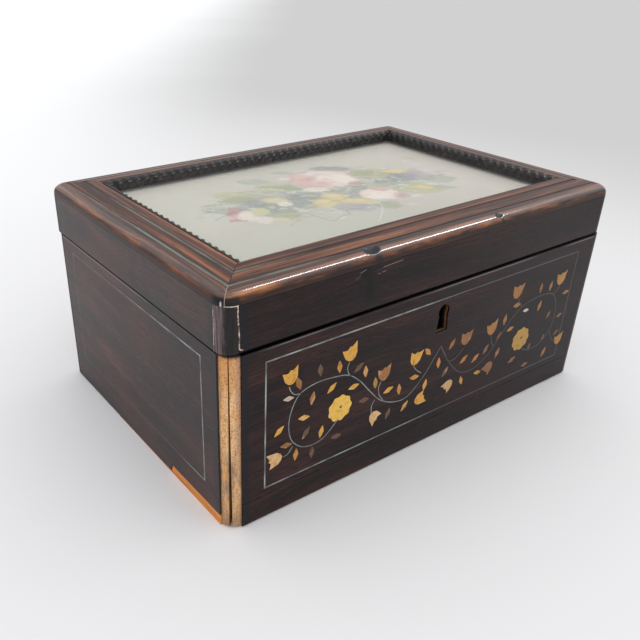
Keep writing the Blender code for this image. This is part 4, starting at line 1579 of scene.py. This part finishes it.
class Canvas:
    """Paint on a fine sheet, laid on with soft-edged brush marks."""

    waver = 0.8     # how far the edge of a mark strays
    leaf_cover = 0.7
    vein_cover = 0.25
    seed = 7

    def __init__(self, x: np.ndarray, y: np.ndarray, ground: Colour) -> None:
        """Prime the sheet.

        Args:
            x: Millimetres to the right of the sheet's middle, for each point.
            y: Millimetres behind it.
            ground: The colour of the priming.
        """
        self.x = x
        self.y = y
        self.paint = np.tile(np.array(ground[:3]), (len(x), 1))
        self.random = np.random.default_rng(self.seed)
        self.wobble_x = self.cloud(0.12) + self.cloud(0.4) * 0.7
        self.wobble_y = self.cloud(0.12) + self.cloud(0.4) * 0.7
        self.dry = self.cloud(0.7) * 0.5 + self.cloud(0.3) * 0.5

    def cloud(self, pitch: float) -> np.ndarray:
        """A smooth random pattern.

        Args:
            pitch: How fast it changes, in waves for each millimetre at most.

        Returns:
            A value from about -1 to 1 for each point.
        """
        total = np.zeros_like(self.x)
        for _ in range(12):
            angle, phase = self.random.uniform(0, 2 * math.pi, 2)
            rate = pitch * self.random.uniform(0.3, 1.0) * 2 * math.pi
            total += np.sin((self.x * math.cos(angle) + self.y * math.sin(angle)) * rate + phase)
        return total / 4

    def lay(self, mask: np.ndarray, colour: Colour, strength: float) -> None:
        """Lay a colour where a mask lets it through."""
        share = (mask * strength * np.clip(0.86 + 0.22 * self.dry, 0, 1))[:, None]
        self.paint = self.paint * (1 - share) + np.array(colour[:3]) * share

    def about(self, x: float, y: float, long: float, wide: float,
              turn: float) -> tuple[np.ndarray, np.ndarray]:
        """Where each point lies in a brush mark, with the mark's ends at -1 and 1.

        Args:
            x: The mark's middle, in millimetres to the right.
            y: Its middle, in millimetres behind.
            long: Half its length.
            wide: Half its width.
            turn: The way that its length points, in degrees from the right.

        Returns:
            How far along the mark each point is, and how far across it.
        """
        cos, sin = math.cos(math.radians(turn)), math.sin(math.radians(turn))
        dx = self.x - x + self.wobble_x * self.waver
        dy = self.y - y + self.wobble_y * self.waver
        return (dx * cos + dy * sin) / long, (dy * cos - dx * sin) / wide

    def blobs(self, *rows: tuple) -> None:
        """Lay rounded, soft-edged touches of paint.

        Args:
            rows: For each, its place as for about, its colour, how well it covers and how much
                of it is edge.
        """
        for *place, colour, strength, soft in rows:
            distance = np.hypot(*self.about(*place))
            mask = np.clip((1 + soft / 2 - distance) / soft, 0, 1)
            self.lay(mask * mask * (3 - 2 * mask), colour, strength)

    def leaves(self, *rows: tuple) -> None:
        """Lay pointed leaves with a darker middle line.

        Args:
            rows: For each, its place as for about, and its colour.
        """
        for *place, colour in rows:
            along, across = self.about(*place)
            edge = np.clip(1 - along ** 2, 0, 1) - np.abs(across)
            mask = np.clip(edge / 0.3 + 0.3, 0, 1) * (np.abs(along) < 1.05)
            self.lay(mask, colour, self.leaf_cover)
            middle = np.clip(1 - np.abs(across) / 0.12, 0, 1) * mask
            self.lay(middle, srgb(118, 128, 112), self.vein_cover)

    def stroke(self, points: list[Point], width: float, colour: Colour,
               strength: float = 0.5) -> None:
        """Draw a thin line through points.

        Args:
            points: Points in millimetres.
            width: Half the line's width.
            colour: Its colour.
            strength: How well it covers.
        """
        nearest = np.full_like(self.x, 1e9)
        path = smooth_path(points, 4)
        for (ax, ay), (bx, by) in zip(path, path[1:]):
            dx, dy = bx - ax, by - ay
            length = max(dx * dx + dy * dy, 1e-9)
            share = np.clip(((self.x - ax) * dx + (self.y - ay) * dy) / length, 0, 1)
            nearest = np.minimum(nearest, np.hypot(self.x - ax - share * dx,
                                                   self.y - ay - share * dy))
        self.lay(np.clip(1.5 - nearest / width, 0, 1), colour, strength)

    def rose(self, x: float, y: float, radius: float, light: Colour, deep: Colour,
             heart: Colour) -> None:
        """Paint one full rose: outer petals, a cup of inner ones and a shaded heart.

        Args:
            x: Its middle, in millimetres to the right.
            y: Its middle, in millimetres behind.
            radius: How wide it opens.
            light: Colour of the petals' rims.
            deep: Colour between the petals.
            heart: Colour at its middle.
        """
        def ring(count: int, first: float, out: Point, size: Point, lean: float) -> list[tuple]:
            """Set out a ring of petals.

            Args:
                count: How many there are.
                first: Where the first one is, in degrees from the right.
                out: How far they are from the middle, as shares of the radius.
                size: Half their length and width, as shares of the radius.
                lean: How far each turns from pointing outwards, in degrees.

            Returns:
                The petals' places.
            """
            turns = [math.radians(first + i * 360 / count) for i in range(count)]
            return [(x + radius * out[0] * math.cos(turn), y + radius * out[1] * math.sin(turn),
                     radius * size[0], radius * size[1], math.degrees(turn) + lean)
                    for turn in turns]

        outer = ring(7, 20, (0.58, 0.5), (0.46, 0.34), 90)
        inner = ring(4, 60, (0.24, 0.2), (0.27, 0.17), 80)
        self.blobs(
            (x, y, radius, radius * 0.86, 0, deep, 0.75, 0.3),
            *((*petal, light, 0.75, 0.6) for petal in outer),
            (x, y + radius * 0.05, radius * 0.5, radius * 0.42, 10, deep, 0.55, 0.6),
            *((*petal, light, 0.7, 0.7) for petal in inner),
            (x, y, radius * 0.16, radius * 0.11, 30, heart, 0.8, 0.8))


@dataclass
class PaintedPicture:
    """The painted bouquet under the glass, on a card of fine cells."""

    cell: float = 0.6 * MM
    attribute: str = "paint"
    ground: Colour = srgb(200, 197, 184)
    dab_count: int = 560

    def bouquet(self, canvas: Canvas) -> None:
        """Paint the bouquet.

        Args:
            canvas: The sheet that takes the paint.
        """
        slate, dusk = srgb(146, 154, 156), srgb(120, 130, 138)
        olive, moss, sage = srgb(184, 184, 132), srgb(152, 162, 116), srgb(162, 174, 154)
        pink, deep, red = srgb(218, 176, 170), srgb(196, 140, 140), srgb(176, 100, 110)
        white, cream, yellow = srgb(236, 228, 218), srgb(226, 212, 168), srgb(222, 200, 134)
        mauve, teal = srgb(170, 162, 172), srgb(132, 150, 142)
        across = -34
        canvas.blobs(
            (70, -20, 70, 60, 0, srgb(212, 202, 196), 0.5, 1.2),
            (-60, 30, 70, 60, 0, srgb(206, 206, 194), 0.5, 1.2),
            (-30, -55, 80, 34, 0, srgb(184, 188, 174), 0.6, 1.2),
            (0, 5, 62, 30, 4, sage, 0.4, 0.7), (-43, 4, 13, 13, across, dusk, 0.75, 0.7),
            (-21, -1, 12, 12, across, dusk, 0.9, 0.7), (10, -6, 9, 7, across, slate, 0.9, 0.7),
            (-4, -26, 11, 6, across, mauve, 0.8, 0.7), (54, 2, 11, 10, across, dusk, 0.85, 0.7),
            (65, -4, 8, 9, across, mauve, 0.7, 0.7), (30, 37, 13, 5, across, dusk, 0.8, 0.7),
            (-8, 0, 8, 6, across, slate, 0.8, 0.7), (40, -2, 9, 7, across, teal, 0.8, 0.7),
            (22, -2, 9, 6, across, teal, 0.8, 0.7), (-36, -3, 12, 8, across, teal, 0.8, 0.7))
        canvas.leaves(
            (-24, 41, 11, 6, across, sage), (-20, 25, 13, 8, across, olive),
            (-14, 21, 9, 6, across - 14, moss), (-46, 24, 15, 9, across, olive),
            (-50, 19, 10, 6, across + 16, moss), (1, 46, 8, 4, across, sage),
            (45, 16, 13, 12, across, olive), (40, 20, 9, 7, across + 30, moss),
            (70, -14, 11, 9, across, sage), (46, -22, 16, 9, across, olive),
            (52, -16, 11, 5, across - 20, olive), (12, -33, 8, 6, across, moss),
            (15, -31, 7, 4, across + 40, sage), (-43, -14, 10, 8, across, moss),
            (-38, -10, 9, 4, across + 25, teal), (-66, 12, 10, 3, across + 10, sage),
            (-68, 7, 10, 2, across - 12, teal), (-64, 18, 9, 2.5, across + 24, sage),
            (60, -27, 9, 4, across - 10, sage), (-50, -2, 7, 5, across, olive))
        dabs = (slate, moss, sage, mauve, white, olive, teal)
        draw = canvas.random
        for _ in range(self.dab_count):
            x, y = draw.normal(2, 32), draw.normal(4, 15)
            tone = dabs[draw.integers(len(dabs))]
            canvas.blobs((x, y, draw.uniform(1.2, 4.6), draw.uniform(0.5, 1.5),
                          draw.uniform(-80, 20), tone, 0.5, 0.6))
        canvas.rose(14, 23, 19, white, pink, deep)
        canvas.blobs(
            (2, 31, 9, 9, across, pink, 0.75, 0.6), (5, 27, 6, 4, across + 20, deep, 0.4, 0.6),
            (4, 16, 9, 5.5, across, deep, 0.55, 0.6), (-1, 22, 5, 7, across, pink, 0.6, 0.6),
            (19, 21, 8, 10, across, white, 0.85, 0.6), (12, 18, 5, 6, across, pink, 0.4, 0.6),
            (-3, 10, 8, 4, across + 10, white, 0.8, 0.6), (24, 6, 5, 3.5, across, deep, 0.7, 0.6),
            (25, 13, 5, 4, across, white, 0.7, 0.6), (-6, 36, 4, 3, across, white, 0.6, 0.6),
            (10, 30, 7, 2, 20, mauve, 0.3, 0.9), (14, 14, 8, 1.6, -50, mauve, 0.3, 0.9),
            (20, 28, 6, 1.5, -70, mauve, 0.3, 0.9))
        canvas.rose(22, -15, 12, white, pink, pink)
        canvas.blobs(
            (20, -18, 8, 7, across, white, 0.8, 0.7), (27, -9.5, 6, 3, across, red, 0.5, 0.7),
            (30, -24, 5, 4, across, deep, 0.55, 0.7), (14, -13, 3, 3, across, cream, 0.7, 0.7))
        for x, y, long, wide, turn in (
                (-2.5, -5, 7.5, 5.5, across), (-13.5, -11, 7.5, 6.5, across + 8),
                (2.5, -18, 9.5, 4.5, across - 6), (60, 11, 8, 3, across), (50, -20, 6, 3, across)):
            canvas.blobs((x, y, long, wide, turn, yellow, 0.85, 0.5),
                         (x + 1, y + 1.4, long * 0.5, wide * 0.45, turn, cream, 0.6, 0.8))
        canvas.blobs(
            (-8, -11, 2.5, 1.5, 20, moss, 0.5, 0.8),
            (-33, 7, 7, 4.5, across - 8, cream, 0.85, 0.5),
            (-32, -1, 4, 4, across, white, 0.9, 0.6), (-37, 10, 3, 2, across, yellow, 0.7, 0.6),
            (-62, 3, 4.5, 8, across, red, 0.7, 0.5), (-64, -5, 6, 6, across, pink, 0.6, 0.7),
            (-59, -6, 5, 7, across, white, 0.85, 0.6), (-67, -9, 4, 2, across, red, 0.6, 0.7),
            (-50, -3, 5, 5, across, srgb(214, 210, 156), 0.7, 0.7),
            (-55, -14, 5, 5, across, white, 0.8, 0.5), (-48, -19, 4, 3, across, cream, 0.7, 0.6),
            (69, 4, 5, 7, across, mauve, 0.5, 0.7))
        for path, width, tone in (
                (((-26, -18), (-22, -24), (-16, -28), (-16, -18)), 0.5, white),
                (((-32, -19), (-30, -28), (-28, -35), (-19, -32), (-14, -32)), 0.45, dusk),
                (((-14, -32), (-12, -27), (-8, -26), (-6, -31)), 0.4, dusk),
                (((-28, -24), (-20, -23), (-12, -22), (-6, -26)), 0.4, mauve),
                (((-50, -29), (-42, -25), (-35, -23)), 0.45, moss),
                (((-38, -19), (-42, -26), (-40, -31)), 0.4, moss),
                (((10, -24), (9, -31), (-2, -42), (-9, -48)), 0.4, white),
                (((-60, 16), (-68, 20), (-76, 26)), 0.4, sage),
                (((-58, 8), (-68, 9), (-78, 11)), 0.4, dusk),
                (((-60, 2), (-70, 1), (-76, -2)), 0.4, dusk),
                (((60, 20), (68, 24), (76, 20)), 0.4, mauve),
                (((62, -8), (74, -12), (80, -20)), 0.4, sage)):
            canvas.stroke(list(path), width, tone, 0.5)

    def build(self) -> None:
        """Build the painted card in the place of the plain one."""
        low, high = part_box("picture")
        middle = (low + high) / 2
        across = round((high.x - low.x) / self.cell)
        back = round((high.y - low.y) / self.cell)
        mesh = bmesh.new()
        made = bmesh.ops.create_grid(mesh, x_segments=across, y_segments=back, size=1.0)["verts"]
        bmesh.ops.scale(mesh, verts=made,
                        vec=((high.x - low.x) / 2, (high.y - low.y) / 2, 1.0))
        bmesh.ops.translate(mesh, verts=made, vec=(middle.x, middle.y, high.z))
        rim = [edge for edge in mesh.edges if edge.is_boundary]
        skirt = bmesh.ops.extrude_edge_only(mesh, edges=rim)["geom"]
        lower = [item for item in skirt if isinstance(item, bmesh.types.BMVert)]
        bmesh.ops.translate(mesh, verts=lower, vec=(0, 0, low.z - high.z))
        foot = [item for item in skirt if isinstance(item, bmesh.types.BMEdge)
                and item.is_boundary]
        bmesh.ops.contextual_create(mesh, geom=foot)
        bmesh.ops.recalc_face_normals(mesh, faces=mesh.faces)
        data = mesh_data("painted_picture", mesh)
        places = np.empty(len(data.vertices) * 3)
        data.vertices.foreach_get("co", places)
        places = places.reshape(-1, 3)
        canvas = Canvas((places[:, 0] - middle.x) / MM, (places[:, 1] - middle.y) / MM,
                        self.ground)
        self.bouquet(canvas)
        paint = data.attributes.new(self.attribute, "FLOAT_COLOR", "POINT")
        colours = np.hstack([canvas.paint, np.ones((len(places), 1))])
        paint.data.foreach_set("color", colours.ravel())
        piece = set_up("painted_picture", data, PaintedCard("painted_card_finish", self.attribute))
        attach(piece, LID)
        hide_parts("picture")
        LOG.info("painted_picture: %d faces on %s", len(data.polygons), LID)


class PackedFinishes:
    """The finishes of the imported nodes."""

    @staticmethod
    def dress(finish: Finish, nodes: str) -> None:
        """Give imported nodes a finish.

        Args:
            finish: The finish.
            nodes: The nodes' names, with a space between them.
        """
        material = finish.make()
        for node in nodes.split():
            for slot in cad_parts[node].material_slots:
                slot.material = material
            LOG.info("%s takes %s", node, material.name)

    def dress_case(self) -> None:
        """Dress the boards, veneers and fittings of the case, and the lid's plain corners."""
        self.dress(BareSoftwood("softwood_along_x", Grain.ALONG_X),
                   "front_board back_board bottom_board")
        self.dress(BareSoftwood("softwood_along_y", Grain.ALONG_Y), "left_board right_board")
        self.dress(FreshSoftwood("fresh_softwood"), "left_foot_lipping")
        # The front, foot and back veneers take depth as painted shade.
        self.dress(RosewoodVeneer("veneer_along_x", Grain.ALONG_X, Grain.ALONG_Z, 0.3,
                                  shine=0.2, depth=0.4),
                   "front_veneer front_foot_veneer back_veneer")
        self.dress(RosewoodVeneer("veneer_along_y", Grain.ALONG_Y, Grain.ALONG_Z, 0.5,
                                  gloss=0.38, shine=0.5, sheen_to_right=0.0), "left_veneer right_veneer")
        self.dress(RosewoodVeneer("veneer_upright", Grain.ALONG_Z, Grain.ALONG_X, 0.1),
                   "corner_veneer_front_right corner_veneer_back_right corner_veneer_back_left "
                   "lid_corner_front_right lid_corner_back_left lid_corner_back_right")
        low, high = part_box("lid_corner_front_left")
        middle = ((low.x + high.x) / 2, (low.y + high.y) / 2)
        self.dress(PolishedCorner("polished_corner", middle), "lid_corner_front_left")
        self.dress(DulledBrass("dulled_brass"),
                   "lock lock_link hinge_left_lower hinge_left_pin hinge_right_lower "
                   "hinge_right_pin hinge_left_upper hinge_right_upper")

    def dress_lid(self) -> None:
        """Dress the boards, veneers, ripple strips and glass of the lid."""
        self.dress(BareSoftwood("lid_softwood_x", Grain.ALONG_X),
                   "lid_front_board lid_back_board lid_board")
        self.dress(BareSoftwood("lid_softwood_y", Grain.ALONG_Y), "lid_left_board lid_right_board")
        self.dress(RosewoodVeneer("lid_veneer_x", Grain.ALONG_X, Grain.ALONG_Z, 0.2),
                   "lid_back_veneer")
        # The lid's front veneer takes depth as painted shade.
        self.dress(RosewoodVeneer("lid_veneer_front", Grain.ALONG_X, Grain.ALONG_Z, 0.2,
                                  shine=0.2, stained=True, depth=0.5), "lid_front_veneer")
        self.dress(RosewoodVeneer("lid_veneer_y", Grain.ALONG_Y, Grain.ALONG_Z, 0.5,
                                  gloss=0.38, shine=0.5), "lid_left_veneer lid_right_veneer")
        self.dress(EbonisedWood("ebonised_x", Grain.ALONG_X), "ripple_back")
        self.dress(EbonisedWood("ebonised_y", Grain.ALONG_Y), "ripple_left ripple_right")
        self.dress(PictureGlass("old_glass"), "glass")


@dataclass
class Studio:
    """Pale floor, soft lights and the camera."""

    floor_half: float = 8.0
    wall: float = 0.84
    ceiling: float = 1.3
    front: float = 0.35
    eye: Spot = (-0.25799, -0.29695, 0.23811)
    right: Spot = (0.82028, -0.57194, 0.00466)
    down: Spot = (-0.27846, -0.40646, -0.87020)
    forward: Spot = (0.49960, 0.71251, -0.49267)
    focal_pixels: float = 728.6
    image_pixels: float = 640.0
    centre_pixels: Point = (257.0, 346.5)
    sensor: float = 36.0
    light_place: Spot = (0.842, -0.07, 1.176)
    light_aim: Spot = (0.0, -0.085, 0.12)
    light_size: Point = (0.11, 0.604)
    light_watts: float = 5.6

    def build_floor(self) -> None:
        """Lay the floor under the box."""
        mesh = bmesh.new()
        bmesh.ops.create_grid(mesh, x_segments=8, y_segments=8, size=self.floor_half)
        data = mesh_data("studio_floor", mesh)
        set_up("studio_floor", data, StudioPaper("studio_paper"))

    def build_strip_light(self) -> None:
        """Hang the long soft light, which shows only as a gleam."""
        data = bpy.data.lights.new("strip_light", "AREA")
        data.shape = "RECTANGLE"
        data.size, data.size_y = self.light_size
        data.energy = self.light_watts
        light = set_up("strip_light", data)
        light.visible_diffuse = False
        light.location = self.light_place
        ahead = Vector(self.light_aim) - Vector(self.light_place)
        light.rotation_euler = ahead.to_track_quat("-Z", "Y").to_euler()

    def build_air(self) -> None:
        """Set the even light of the room, brighter above and in front."""
        world = bpy.data.worlds.new("studio_air")
        sheet = Sheet(world)
        x, y, z = sheet.split(sheet.node("ShaderNodeTexCoord", output="Generated"))
        near = (x * 0.35 - y * 0.94).rise(0.1, 0.9) * z.rise(0.75, 0.25)
        level = self.wall + (self.ceiling - self.wall) * z.rise(0.35, 0.95)
        glow = level + self.front * near
        air = sheet.node("ShaderNodeBackground", None,
                         {"Color": srgb(252, 252, 253), "Strength": glow})
        sheet.close("ShaderNodeOutputWorld", air)
        bpy.context.scene.world = world

    def build_camera(self) -> None:
        """Stand the camera where the box is seen from."""
        data = bpy.data.cameras.new("camera")
        data.sensor_fit = "HORIZONTAL"
        data.sensor_width = self.sensor
        data.lens = self.focal_pixels * self.sensor / self.image_pixels
        half = self.image_pixels / 2
        data.shift_x = (half - self.centre_pixels[0]) / self.image_pixels
        data.shift_y = (self.centre_pixels[1] - half) / self.image_pixels
        data.clip_start = 0.01
        camera = set_up("camera", data)
        turn = Matrix((self.right, -Vector(self.down), -Vector(self.forward))).transposed()
        camera.matrix_world = Matrix.Translation(self.eye) @ turn.to_4x4()
        bpy.context.scene.camera = camera

    def build(self) -> None:
        """Build the whole studio."""
        bpy.context.scene.view_settings.view_transform = "Standard"
        self.build_floor()
        self.build_air()
        self.build_strip_light()
        self.build_camera()


def main() -> None:
    """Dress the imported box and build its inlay, picture and studio."""
    logging.basicConfig(level=logging.INFO, format="%(message)s")
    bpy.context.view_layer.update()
    finishes = PackedFinishes()
    finishes.dress_case()
    finishes.dress_lid()
    LidMoulding().build()
    CornerGlue().build()
    Stringing().build()
    FrontInlay().build()
    PaintedPicture().build()
    Studio().build()


if __name__ == "__main__":
    main()
